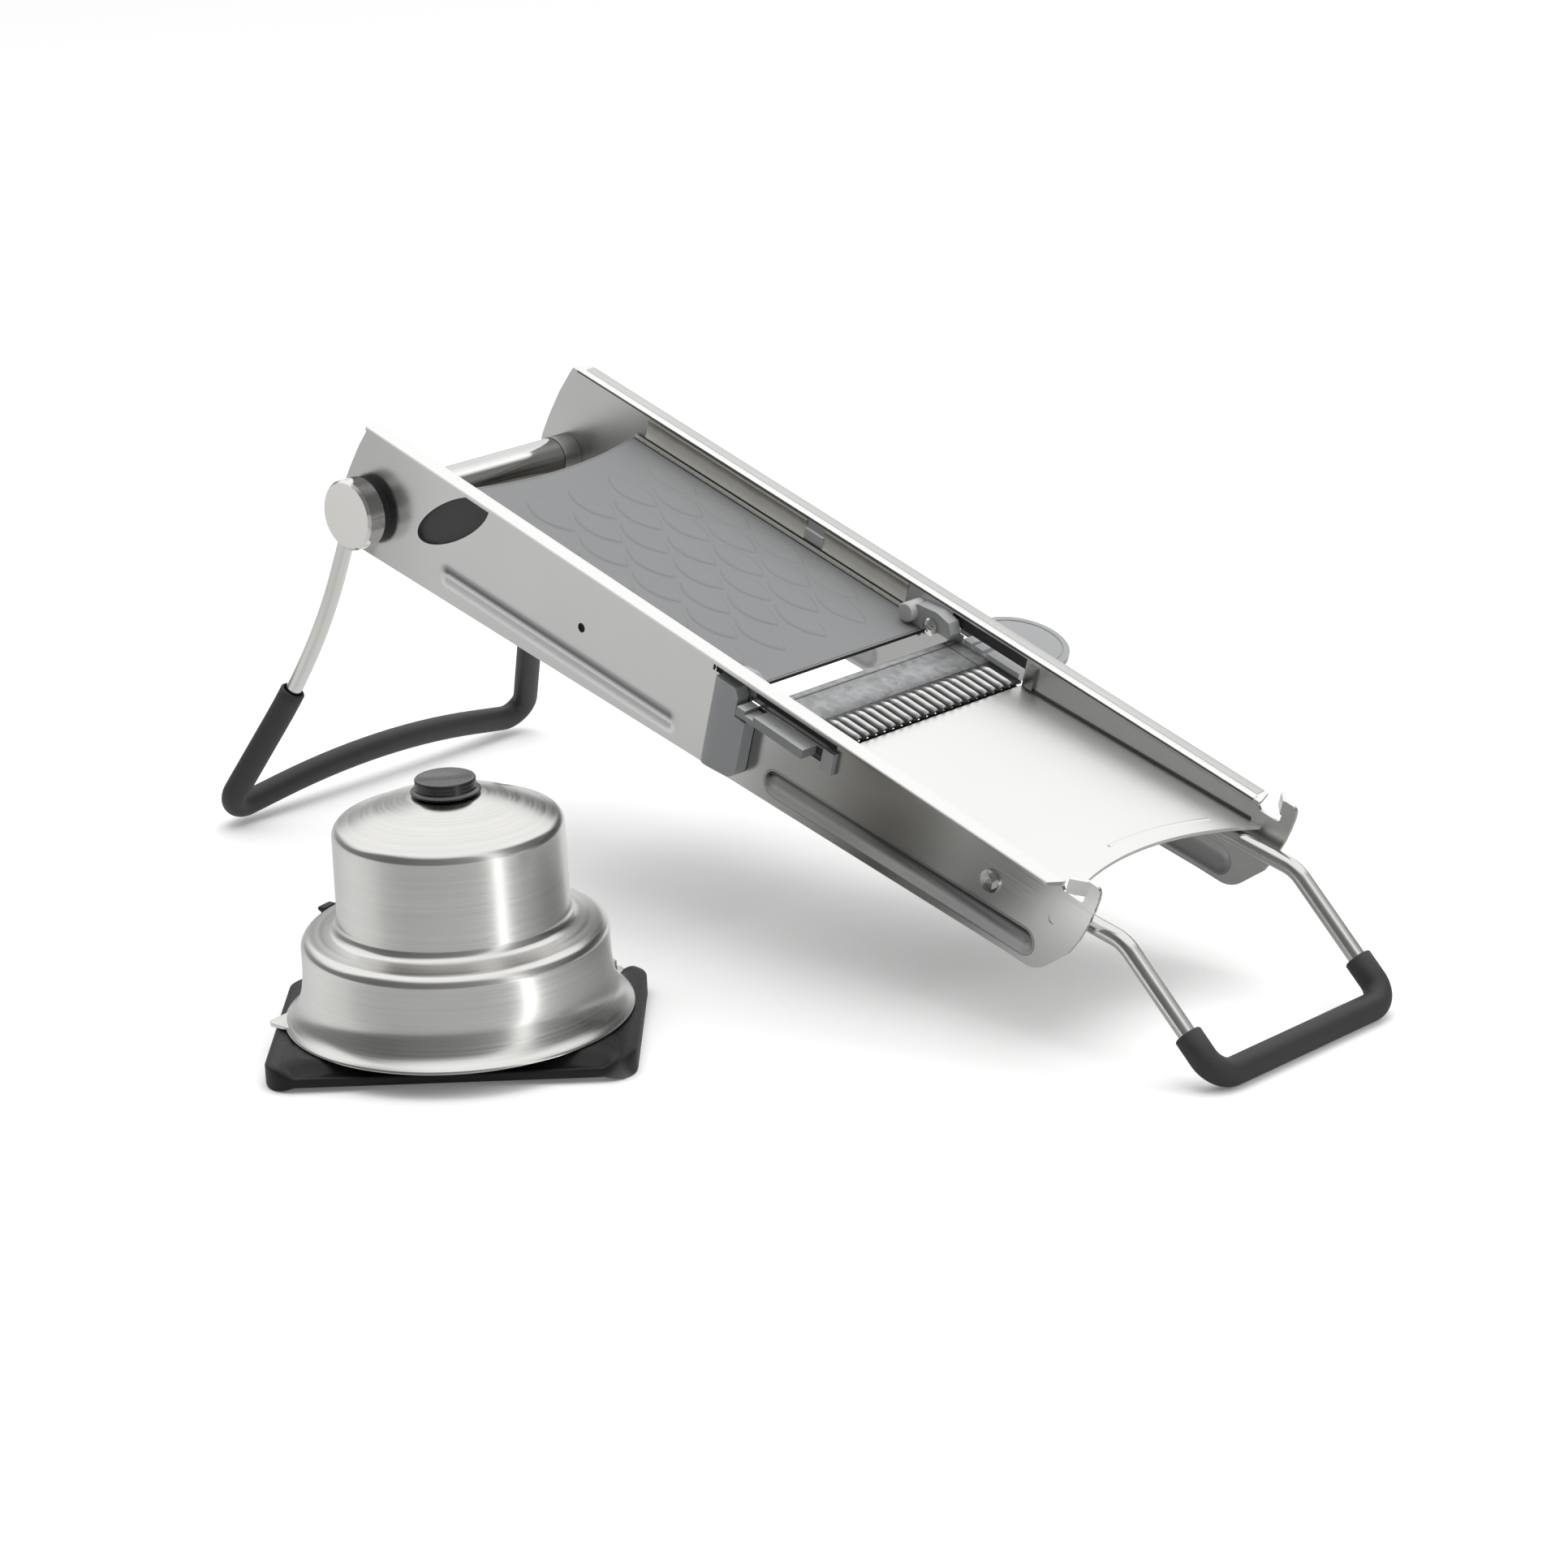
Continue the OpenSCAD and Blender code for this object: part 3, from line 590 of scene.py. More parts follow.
# ---- CAD nodes that stay: new materials and softer edges ----
dress(PLATE, "near_side_plate", "far_window_lug", "ramp_pivot_pins", "front_pivot_nuts", "pusher_nut")
dress(FAR_WALL, "far_side_plate")
dress(LANDING, "landing_plate")
dress(POLISHED, "near_hub", "far_hub", "front_pivot_bolts", "ramp_screws", "pusher_stem")
dress(RUBBER, "near_washer", "far_washer")
dress(COATING, "ramp_plate")
dress(BRACKET, "near_ramp_bracket", "far_ramp_bracket")
dress(BAR, "near_blade_bar")
dress(FAR_BAR, "far_blade_bar")
dress(GRIP, "blade_grip", "near_window_lug")
dress(BLACK, "pusher_disc")
soften(0.25, "near_side_plate", "far_side_plate", "near_window_lug", "far_window_lug")
soften(0.12, "front_pivot_bolts")
soften(0.35, "near_ramp_bracket", "far_ramp_bracket", "near_blade_bar", "far_blade_bar")
soften(0.4, "blade_grip", "near_hub", "far_hub", "near_washer", "far_washer")


# ---- legs and cross tube ----
ROD_R, SLEEVE_R, SLEEVE_BORE = 3.5 * MM, 5.5 * MM, 4.4 * MM


def sleeve_mesh(path):
    """A rubber tube along a path, open round the rod at both ends."""
    depth, round_off = 3 * MM, 0.5 * MM
    mouth = [(depth, SLEEVE_BORE - 1.0 * MM), (depth, SLEEVE_BORE), (round_off, SLEEVE_BORE),
             (0, SLEEVE_BORE + 0.2 * MM), (0, SLEEVE_R - round_off), (round_off, SLEEVE_R)]
    tip, tail = path[0], path[-1]
    ahead, behind = (path[1] - tip).normalized(), (path[-2] - tail).normalized()
    inner = shortened(path, depth, depth)[1:-1]
    stations = [(tip + ahead * inward, r) for inward, r in mouth]
    stations += [(p, SLEEVE_R) for p in inner]
    stations += [(tail + behind * inward, r) for inward, r in reversed(mouth)]
    spine = [tip, *inner, tail]
    loops, last = [], None
    for centre, r in stations:
        nearest = min(range(len(spine)), key=lambda k: (spine[k] - centre).length)
        last, other = follow(spine, nearest, last, Vector((1, 0, 0)))
        loops.append(hoop(centre, last, other, r, 40))
    return tube(loops)


def leg(prefix, points, radii, bare):
    """A bent rod through corner points, with a rubber sleeve that leaves a bare length at each end."""
    path = rounded_path(points, [r * MM for r in radii])
    rod = piece(prefix + "_rod_round", *sweep(path, ROD_R), prefix, "steel", ROD, 50)
    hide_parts(prefix + "_rod")
    cover = sleeve_mesh(shortened(path, bare * MM, bare * MM))
    sleeve = piece(prefix + "_sleeve_round", *cover, prefix, "rubber", RUBBER, 50)
    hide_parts(prefix + "_sleeve")


def both_sides(side, *crown):
    """The far side's corner points flipped to the near side, a crown and the far side back up."""
    return [*(Vector((p.x, -p.y, p.z)) for p in side), *crown, *reversed(side)]


def rear_points():
    hub = joint_place("rear_leg_fold")
    reach, half, foot = 77.5 * MM, 88.5 * MM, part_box("rear_leg_sleeve")[0].z + SLEEVE_R
    top = hub + mm(-4.6, HALF_W + 7.6, -8.8)
    knee = Vector((hub.x - 0.44 * reach, (HALF_W + 4.4) * MM, hub.z * 0.562))
    crown = Vector((hub.x - reach + 5 * MM, 0, foot + 14.5 * MM))
    return both_sides([top, knee, Vector((hub.x - reach, half, foot))], crown)


def front_points():
    pivot = joint_place("front_leg_fold")
    reach, half, foot = 102.7 * MM, 50 * MM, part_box("front_leg_sleeve")[0].z + SLEEVE_R
    top = pivot + mm(4, 0, -0.9) + ACROSS * half
    knee = Vector((pivot.x + 0.5764 * reach, half, pivot.z * 0.7864))
    return both_sides([top, knee, Vector((pivot.x + reach, half, foot))])


leg("rear_leg", rear_points(), (240, 9, 330, 9, 240), 87)
leg("front_leg", front_points(), (16, 9.5, 9.5, 16), 98)


def round_across(s, n, sign=1):
    """Placing function for shapes turned round an axis that lies across the deck."""
    def at(r, degrees, y):
        turn = math.radians(degrees)
        return deck(s + r * math.cos(turn), sign * y, n + r * math.sin(turn))
    return at


def build_tube():
    """The cross tube, and at each end a collar with a fine dark groove in front of it."""
    wall = [(8.1, 56.0), (8.85, 56.0), (8.85, -56.0), (8.1, -56.0)]
    shell = piece("tube_shell", *lathe(wall, round_across(*HUB), 64), "frame", "steel", TUBE, 40)
    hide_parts("cross_tube")
    profile = [(8.1, 56.2), (9.1, 56.2), (9.1, 47.2), (8.95, 46.9), (8.1, 46.9)]
    dark = [(8.1, 46.95), (8.95, 46.9), (8.95, 46.4), (8.1, 46.35)]
    for side, sign in (("near", -1), ("far", 1)):
        at = round_across(*HUB, sign)
        collar = piece(f"{side}_tube_collar", *lathe(profile, at, 64), "frame", "steel", COLLAR, 40)
        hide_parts("tube_rings")
        piece(f"{side}_tube_groove", *lathe(dark, at, 64), "frame", "rubber", SHADE_AND_LINE_DARK, 40)


build_tube()


# ---- side plates ----
def stadium(start, end, radius):
    """Outline of a slot with round ends round the line from start to end, as (s, n) pairs."""
    turn = math.degrees(math.atan2(end[1] - start[1], end[0] - start[0]))
    return arc(end, radius, turn - 90, turn + 90, 14) + arc(start, radius, turn + 90, turn + 270, 14)


def bead(name, start, end, section, place, material):
    """A pressed channel or bulge: section lists (radius, shift up, height), place(s, n, height) a point."""
    loops = []
    for radius, shift, height in section:
        outline = stadium((start[0], start[1] + shift), (end[0], end[1] + shift), radius)
        loops.append([place(s, n, height) for s, n in outline])
    piece(name, *rings(loops, first=False), "frame", "steel", material, 80)


DISH = [(6.1, 0, 0.012), (5.65, 0, 0.015), (5.2, 0.08, -0.04), (4.6, 0.22, -0.2), (3.9, 0.45, -0.42),
        (3.1, 0.7, -0.66), (2.3, 0.85, -0.82), (1.4, 0.9, -0.91), (0.1, 0.9, -0.94)]
VALLEY = [(6.1, 0, 0.012), (5.6, 0, 0.01), (5.2, 0, -0.03), (4.6, 0, -0.09), (3.9, 0, -0.19),
          (3.1, 0, -0.34), (2.3, 0, -0.54), (1.5, 0, -0.79), (0.9, 0, -0.96), (0.1, 0, -1.0)]
BULGE = [(6.6, 0, 0.02), (5.8, 0, 0.08), (5.1, 0, 0.28), (4.3, 0, 0.5), (3.2, 0, 0.62), (1.6, 0, 0.67),
         (0.1, 0, 0.68)]
UPPER_BEAD = ((58, -45.2), (193, -42.2))
LOWER_BEAD = ((254, -38.2), (388, -33.0))


def build_beads():
    """Two beads on each plate, each as a hollow outside and a bulge inside."""
    # the near plate's lower bead outside takes the darker copy with more painted shade
    for side, sign, low, inner in (("near", -1, SHADED_CHANNEL, CHANNEL), ("far", 1, CHANNEL, FAR_CHANNEL)):
        def outside(s, n, height):
            return deck(s, sign * (HALF_W + height), n)

        def inside(s, n, height):
            return deck(s, sign * (INNER_W - height), n)

        for which, ends, section, metal in (("upper", UPPER_BEAD, VALLEY, CHANNEL),
                                            ("lower", LOWER_BEAD, DISH, low)):
            bead(f"{side}_{which}_bead", *ends, section, outside, metal)
            bead(f"{side}_{which}_bead_inside", *ends, BULGE, inside, inner)


def strip(name, reach, section, material, slot="steel", body="frame", lean=0.0):
    """A strip along the rails between two s values, its cross-section given as (y, n) pairs."""
    loops = [[deck(s, y, n + lean * (s - reach[0])) for y, n in section] for s in reach]
    piece(name, *rings(loops), body, slot, material)


def shade(name, reach, y, n):
    """A thin dark strip that stands in for the darkness behind an opening."""
    strip(name, reach, box_section(y, n), SHADE_AND_LINE_DARK, "rubber")


RECESS = [(56.35, -10.4), (55.75, -10.2), (55.95, -9.0), (56.1, -7.0), (56.1, -4.6), (55.9, -2.6),
          (55.6, -1.6), (56.35, -1.3)]
# name, reach along the rails, section as (y, n) and material
RAIL_STRIPS = (
    ("near_rail_fold", (3, 397), [(-57.9, 0.1), (-57.9, -0.9), (-58.5, -1.75), (-58.7, -0.9)], PLATE),
    ("far_rail_band", (5, 396), [(59.7, 0.2), (59.8, 0.42), (64.0, 0.8), (64.35, 0.62), (64.3, 0.3)], RAIL),
    # a painted highlight along the bend of the far rail
    ("far_rail_edge", (3, 397), [(56.32, -0.1), (56.4, 0.12), (58.7, 0.36), (59.0, 0.2)], EDGE_HIGHLIGHT),
    # a dark line of painted shade under the far rail's fold
    ("far_rail_shade_line", (3, 397), [(56.4, -0.15), (56.15, -0.25), (56.15, -0.75), (56.4, -0.85)], SHADE_AND_LINE_DARK),
    ("far_recess_1", (49.5, 148), RECESS, KHAKI),
    ("far_recess_2", (158.6, 208), RECESS, KHAKI),
    ("far_recess_divider", (148, 158.6), [(56.35, -9.6), (55.5, -9.4), (55.5, -5.2), (56.35, -4.6)], PALE))


def build_rail_strips():
    for name, reach, section, material in RAIL_STRIPS:
        strip(name, reach, section, material, "rubber" if material == SHADE_AND_LINE_DARK else "steel")
    # painted shade: a dark strip in the gap between the landing and the far plate
    strip("landing_gap_shade", (276, 398), [(56.35, -13.9), (55.9, -13.9), (55.9, -12.8), (56.35, -12.5)],
          SHADE_AND_LINE_DARK, "rubber", lean=LANDING_LEAN)
    # painted shade: a dark strip under the gap between the blade's waves and the landing
    strip("landing_front_shade", (272.6, 276.4), box_section((-56.1, 56.1), (-15.8, -15.15)), SHADE_AND_LINE_DARK)


def oval_shade():
    """Dark stand-in for the shade right behind the oval opening of the near plate."""
    loops, cos, sin = [], math.cos(OVAL_TILT), math.sin(OVAL_TILT)
    for depth, share in ((LINED, 1.0), (LINED - 0.4, 1.0), (LINED - 0.55, 0.98)):
        long, short = OVAL_HALF[0] * share, OVAL_HALF[1] * share
        flat = [(long * x, short * y) for x, y in arc((0, 0), 1, 0, 352.5, 47)]
        loops.append([deck(OVAL[0] + x * cos - y * sin, -depth, OVAL[1] + x * sin + y * cos)
                      for x, y in flat])
    piece("oval_shade", *rings(loops), "frame", "rubber", SHADE_AND_LINE_DARK, 40)


def disc(name, place, radius, y, thick, slot, material):
    """A small round patch on a side plate, reaching across from y to y + thick."""
    outline = arc(place, radius, 0, 345, 23)
    loops = [[deck(s, across, n) for s, n in outline] for across in (y, y + thick)]
    piece(name, *rings(loops), "frame", slot, material)


# painted shade: dark stand-ins behind the oval, the near window and slot, the far opening and the small hole; and
# a plug for the dimple's floor
def build_opening_shades():
    oval_shade()
    shade("near_window_shade", (211.8, 281.4), (-LINED, -LINED + 0.45), (-8.5, -1.5))
    shade("near_slot_shade", BLADE_OPENING, (-LINED, -LINED + 0.45), (-11.4, -8.6))
    shade("far_opening_shade", BLADE_OPENING, (HALF_W + 0.05, HALF_W + 0.5), (-7.4, -1.7))
    disc("dimple_floor", DIMPLE, 1.75, -57.3, -0.25, "steel", PLATE)
    disc("small_hole_shade", HOLE, 2.6, -LINED, 0.3, "rubber", SHADE_AND_LINE_DARK)


build_beads()
build_rail_strips()
build_opening_shades()


# ---- ramp and landing ----
def build_ramp():
    fold = [(55.05, -12.7), (55.1, -11.4), (55.3, -10.9), (55.5, -11.3), (55.5, -12.7)]
    seam = [(55.0, -13.3), (55.1, -12.6), (55.7, -12.6), (55.7, -13.3)]
    strip("ramp_far_fold", (44, 209), fold, CREAM, body="ramp")
    strip("ramp_far_seam", (44, 222), seam, SHADE_AND_LINE_DARK, "rubber", "ramp")
    boss = [(0, 56.2), (4.15, 56.2), (4.15, 47.6), (3.6, 46.9), (1.5, 46.7), (0, 46.7)]
    piece("bracket_boss", *lathe(boss, round_across(*BOSS), 48), "frame", "cast", PALE, 40)
    loops, centre = [], -131            # of the upper edge's curve, along the rails
    for r, lift in ((183.4, 0.02), (183.1, 0.25), (182.6, 0.25), (182.3, 0.02)):
        turn = [math.asin(y / r) for y in range(-54, 55, 2)]
        loops.append([deck(centre + r * math.cos(a), r * math.sin(a), lift - DECK_DROP) for a in turn])
    piece("ramp_upper_lip", *open_sheet(loops), "ramp", "coating", COATING, 60)
    lip = ((223.0, -13.15), (224.15, -13.4), (224.2, -14.6), (223.0, -14.8))
    loops = [[deck(s, y, n) for y in (-55.4, 55.4)] for s, n in lip]
    piece("ramp_low_lip", *open_sheet(loops), "ramp", "coating", BLACK, 60)


def ramp_relief():
    """Low almond-shaped swellings that keep food from sticking, eight rows of four."""
    sections = ((21.2, 0.01), (20.9, 0.16), (20.5, 0.34), (20.1, 0.43), (19.4, 0.46), (18.2, 0.46))
    first, pitch, row_pitch, apart = (80.3, 43.8), 32.6, 11.6, 14.7   # apart: arc centre to middle
    verts, faces = [], []
    for row in range(8):
        for i in range(4):
            x, y = first[0] + pitch / 2 * (row % 2) + pitch * i, first[1] - row_pitch * row
            loops = []
            for r, lift in sections:
                half = math.degrees(math.acos(apart / r))
                upper = arc((0, -apart), r, 90 + half, 90 - half, 16)
                lower = arc((0, apart), r, 270 + half, 270 - half, 16)
                loops.append([deck(x + a, y + b, lift - DECK_DROP) for a, b in upper[:-1] + lower[:-1]])
            some, joins = rings(loops, first=False)
            faces += [tuple(len(verts) + v for v in face) for face in joins]
            verts += some
    piece("ramp_relief", verts, faces, "ramp", "coating", COATING, 70)


def build_landing():
    """A faint pressed line that runs beside the hollowed end."""
    start, height, hollow = 275.2, -14, 509.6   # upper edge and its n; centre of the hollowed end's curve

    def place(r, a, lift):
        s = hollow - start + r * math.cos(a)
        return deck(start + s * math.cos(LANDING_SLOPE) - lift * math.sin(LANDING_SLOPE), r * math.sin(a),
                    height + s * math.sin(LANDING_SLOPE) + lift)

    loops = []
    for r, lift in ((127.0, 0.0), (127.4, 0.16), (128.4, 0.16), (128.8, 0.0)):
        loops.append([place(r, math.radians(184 - 0.75 * k), lift) for k in range(32)])
    piece("landing_press_line", *open_sheet(loops), "frame", "steel", LANDING, 60)


build_ramp()
ramp_relief()
build_landing()


def build_lever():
    """Finger lever: its left side is rolled round towards the plate, its right side is cut square."""
    start, drop = 224, -DECK_DROP
    top = ((-7, 6), (-5, 7.8), (6.4, 7.8), (8.6, 4.6))
    foot = ((-7, -30.4), (-5.8, -32.4), (10.4, -30.6), (12.6, -29.2), (14.0, -27.0), (14.4, -25))
    roll = ((-7, -60.2), (-6.7, -61.4), (-6.0, -62.5), (-4.8, -63.4), (-3.2, -63.9), (-1.0, -64.15),
            (1.0, -64.2), (14.4, -64.2))
    smooth = (-7, -6.7, -6.0, -5, -4.8, -3.2, -1.0, 1.0, 3.0, 6.4, 8.6)
    stations = [(s, between_points(top, s)) for s in smooth]
    stations += [(8.61, -3.8), (10.4, -3.8), (12.6, -3.8), (14.0, -3.8), (14.4, -3.8)]
    loops = []
    for s, high in stations:
        low, front = between_points(foot, s), between_points(roll, s)
        loops.append([deck(start + s, front, drop + low), deck(start + s, front, drop + high),
                      deck(start + s, -58.1, drop + high), deck(start + s, -58.1, drop + low)])
    body = bevel(piece("lever_body", *rings(loops), "ramp", "cast", CAST, 30), 0.5, 3, 40)
    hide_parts("thickness_lever")
    tongue = [(-7.6, -5.6), (4.4, -5.6), (4.4, -0.6), (-7.6, -0.6)]
    loops = [[deck(start + s, y, drop + n) for s, n in tongue] for y in (-58.5, -55.6)]
    bevel(piece("lever_tongue", *rings(loops), "ramp", "cast", CAST), 0.3)


build_lever()


# ---- blade ----
WAVES, WAVE_Y = 22, 53.3        # waves of the edge, and how far to each side they go
BLADE_Y = 57.7                  # half of the blade's width
FLAT_START, WAVE_START = 239, 256


def blade_height(s, y):
    """Height of the blade's upper face: a ground leading edge, a flat part, then growing waves."""
    if s < FLAT_START:
        return -DECK_DROP - 0.75 * (FLAT_START - s) / 4
    if s <= WAVE_START or abs(y) > WAVE_Y:
        return -DECK_DROP
    turn = (y + WAVE_Y) / (2 * WAVE_Y) * WAVES
    share = abs((turn % 1.0) - 0.5) * 2
    wave = math.cos(math.pi * share) * 0.6 + (0.5 - share) * 0.8
    return -DECK_DROP + eased((s - WAVE_START) / 6.0) * (0.55 + 1.2 * wave)


def blade_sheet(name, rows, columns, material, thick, crease):
    """A part of the blade as a sheet over a grid of s and y values, thickened downward."""
    loops = [[deck(s, y, blade_height(s, y)) for y in columns] for s in rows]
    made = piece(name, *open_sheet(loops), "blade", "blade_steel", material, crease)
    shell = made.modifiers.new("thickness", "SOLIDIFY")
    shell.thickness = thick * MM
    shell.offset = -1 if made.data.polygons[0].normal.z > 0 else 1
    return made


def build_blade():
    plain = [-BLADE_Y, -30, 0, 30, BLADE_Y]
    flat = blade_sheet("blade_flat_sheet", [FLAT_START, 247.5, 256.2], plain, BLADE, 1.5, 35)
    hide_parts("blade_plate")
    blade_sheet("blade_leading_edge", [235, 236, 239.1], plain, BLADE, 0.7, 35)
    fine = [-WAVE_Y + 2 * WAVE_Y * k / (WAVES * 10) for k in range(WAVES * 10 + 1)]
    columns = [-BLADE_Y, -WAVE_Y - 0.01, *fine, WAVE_Y + 0.01, BLADE_Y]
    rows = [WAVE_START, 256.8, 257.8, 259, 260.2, 261.4, 262.2, 266, 270, 274]
    blade_sheet("blade_waves", rows, columns, WAVY, 1.1, 60)
    for name, y in (("blade_scribe_far", 50.2), ("blade_scribe_near", -51.5)):
        scribe = [(y, -13.25), (y + 0.05, -13.1), (y + 0.45, -13.1), (y + 0.5, -13.25)]
        strip(name, (236.5, 256), scribe, SHADE_AND_LINE_DARK, "blade_steel", "blade")
    for name, reach, y, n, material in (
            ("blade_slot_shade", (233.8, 276.1), (-57.6, -57.25), (-16.3, -11.42), SHADE_AND_LINE_DARK),
            ("blade_far_shade", (233.8, 240.6), (57.25, 57.6), (-16.3, -9.4), CAST),
            ("blade_ground_line", (238.9, 239.3), (-57.6, 57.6), (-13.25, -13.12), SHADE_AND_LINE_DARK)):
        strip(name, reach, box_section(y, n), material, "blade_steel", "blade")


build_blade()


# ---- pusher ----
def notched(r, a, z):
    """Drum wall, pushed in where the latch comes through the rim."""
    if 144 < a % 360 < 158 and z < 25.3:
        r = min(r, 59.9)
    return drum(r, a, z)


def drum_profile():
    """Outer wall from the stem hole down to the rim, then back up inside."""
    dome, base, upper, lower, rim, skin = 97.4, 9.3, 44.3, 59, 67.2, 1.2
    step, flare = dome - 46.9, rim - lower
    wall = [(0, 32), (0.02, 29), (0.05, 26), (0.1, 23), (0.17, 20.5), (0.27, 18), (0.39, 16), (0.53, 14.2),
            (0.68, 12.8), (0.84, 11.6), (0.95, 10.8)]
    outer = [(3.2, dome), (11, dome - 0.1), (14, dome - 0.4), (16, dome - 0.8), (20, dome - 1.75),
             (24, dome - 2.9), (28, dome - 4.3), (32, dome - 5.9), (36, dome - 7.8)]
    outer += arc((upper - 5.4, step + 32.4), 5.4, 58, 0, 12)
    outer += [(upper + 0.15, step + 18), (upper + 0.3, step + 1.6)]
    outer += arc((upper + 5.2, step), 4.8, 174, 255, 10)
    outer += arc((lower - 5.0, step - 10.9), 5.0, 84, 0, 10)
    outer += [(lower + f * flare, z) for f, z in wall]
    outer += [(rim, base + 1.0), (rim, base + 0.5), (rim - 0.5, base + 0.1), (rim - 2.2, base + 0.1)]
    inner = [(lower - skin + f * flare, z) for f, z in reversed(wall)]
    inner += [(lower - skin, step - 11.4), (lower - 6, step - 7.4), (upper + 1.8, step - 6.2),
              (upper - skin, step - 2), (upper - skin, step + 30), (upper - 7, step + 35.5),
              (24, dome - 4.6), (3.2, dome - 1.4)]
    return outer + inner


KNOB = [(0, 97.8), (13.0, 97.75), (13.4, 98.0), (13.5, 98.6), (13.1, 99.1), (12.0, 99.4), (11.7, 99.9),
        (11.7, 100.4), (11.4, 100.55), (11.4, 101.05), (11.7, 101.2), (11.7, 101.8), (11.4, 101.95),
        (11.4, 102.4), (11.7, 102.55), (11.7, 103.1), (11.4, 103.55), (10.9, 103.78), (10.2, 103.78),
        (9.8, 103.55), (0, 103.5)]


def polar_prism(outline, turn, low, high):
    """A flat tab on the drum: outline in millimetres out from and beside the axis, turned by degrees."""
    flat = [(math.hypot(x, y), turn + math.degrees(math.atan2(y, x))) for x, y in outline]
    return rings([[drum(r, a, z) for r, a in flat] for z in (low, high)])


def carriage_outline(inset):
    """A rounded rectangle set in from the carriage's edge."""
    half, front, back, radius = 70 - inset, -56.5 + inset, 44.5 - inset, max(12 - 0.5 * inset, 4.0)
    corners = (((half - radius, back - radius), 0), ((-half + radius, back - radius), 90),
               ((-half + radius, front + radius), 180), ((half - radius, front + radius), 270))
    return [p for centre, start in corners for p in arc(centre, radius, start, start + 90, 12)]


def carriage_mesh():
    """Plate with a lip, hollowed along its front and back, with side walls that straddle the rails."""
    def between(edge, side):
        return lambda x: side + (edge - side) * eased((65 - abs(x)) / 9)

    def foot(x):
        return 0.05 if abs(x) > 64.5 else 2.2

    def loop(inset, height):
        return [carriage(x, y, height(x)) for x, y in carriage_outline(inset)]

    top = [(0.35, 2.3, 0.3), (0, 2.9, 0.9), (0, 4.6, 7.9), (0.3, 5.1, 8.6), (1.0, 5.4, 9.1),
           (2.4, 5.4, 9.28), (4.0, 5.0, 9.28), (6.0, 5.6, 9.28), (8.5, 7.6, 9.28), (10.5, 9.1, 9.28),
           (11.5, 9.28, 9.28)]
    loops = [loop(4.9, lambda x: 2.2), loop(4.8, foot), loop(0.35, foot)]
    loops += [loop(inset, between(edge, side)) for inset, edge, side in top]
    turns = [math.atan2(y, x) for x, y in carriage_outline(11.5)]
    loops += [[carriage(r * math.cos(a), r * math.sin(a), z) for a in turns]
              for r, z in ((42.0, 9.28), (41.2, 8.9), (41.0, 8.0), (41.0, 2.2))]
    return tube([*loops, loops[0]])


def build_pusher():
    drum_piece = piece("drum_shell", *lathe(drum_profile(), notched, 180), "pusher", "drum_steel", DRUM, 50)
    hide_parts("pusher_shell")
    for name, turn, out, half in (("drum_ear_left", 188, 5.4, 9), ("drum_ear_right", 30, 2.6, 7)):
        ear = [(65.4, -half), (67.2 + out, -1.5), (67.2 + out, 1.5), (65.4, half)]
        bevel(piece(name, *polar_prism(ear, turn, 9.7, 11.25), "pusher", "drum_steel", DRUM), 0.3, 2)
    tab = [(64.6, -3), (66.2, -3), (66.2, 3), (64.6, 3)]
    bevel(piece("drum_tab", *polar_prism(tab, 30, 10.3, 15.7), "pusher", "drum_steel", DRUM), 0.3, 2)
    section = [(60.3, 9.4), (62.6, 9.4), (62.6, 40.4), (63.9, 41.0), (63.9, 42.3), (60.3, 42.3)]
    loops = [[drum(r, 145 + 1.3 * k, z) for r, z in section] for k in range(6)]
    latch = bevel(piece("latch_strap", *rings(loops), "pusher", "plastic", BLACK, 30), 0.3, 2, 40)
    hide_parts("pusher_latch")
    knob = piece("plunger_knob", *lathe(KNOB, drum, 96), "plunger", "plastic", GLOSS, 40)
    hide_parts("pusher_cap")
    plate = piece("carriage_plate", *carriage_mesh(), "pusher", "plastic", BLACK, 50)
    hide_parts("pusher_carriage")


build_pusher()


# ---- camera, floor and light ----
def make_camera():
    """The main view: from the pusher's right, looking down along the slicer."""
    yaw, pitch, roll = -0.78007, 0.28566, -0.04162
    place = Vector((1.489392, -1.276472, 0.666134))
    ahead = Vector((math.cos(pitch) * math.sin(yaw), math.cos(pitch) * math.cos(yaw), -math.sin(pitch)))
    level = Vector((math.cos(yaw), -math.sin(yaw), 0))
    above = level.cross(ahead)
    right = level * math.cos(roll) + above * math.sin(roll)
    up = above * math.cos(roll) - level * math.sin(roll)
    lens = bpy.data.cameras.new("camera")
    lens.sensor_width = 36
    lens.lens = 108.343
    lens.shift_x, lens.shift_y = -0.05, -0.12
    lens.clip_start, lens.clip_end = 0.05, 50
    camera = bpy.data.objects.new("camera", lens)
    bpy.context.scene.collection.objects.link(camera)
    turned = Matrix((right, up, -ahead)).transposed()
    camera.matrix_world = Matrix.Translation(place) @ turned.to_4x4()
    bpy.context.scene.camera = camera


# brightness by compass direction in degrees: of the floor, then of the room's walls
FLOOR_LIGHT = [(-180, 0.6), (-140, 0.88), (-120, 0.75), (-100, 0.36), (-85, 0.28), (-30, 0.34), (-3, 0.42),
               (1, 3.6), (5, 3.6), (9, 0.4), (34, 0.3), (70, 0.24), (84, 0.34), (96, 1.1), (140, 0.9),
               (180, 0.6)]
WALL_LIGHT = [(-180, 0.3), (-140, 0.24), (-100, 0.16), (-60, 0.22), (-6, 0.32), (0, 1.8), (6, 1.8),
              (14, 0.28), (60, 0.16), (104, 0.3), (116, 0.95), (142, 0.95), (150, 0.4), (156, 0.4),
              (163, 0.6), (180, 0.3)]
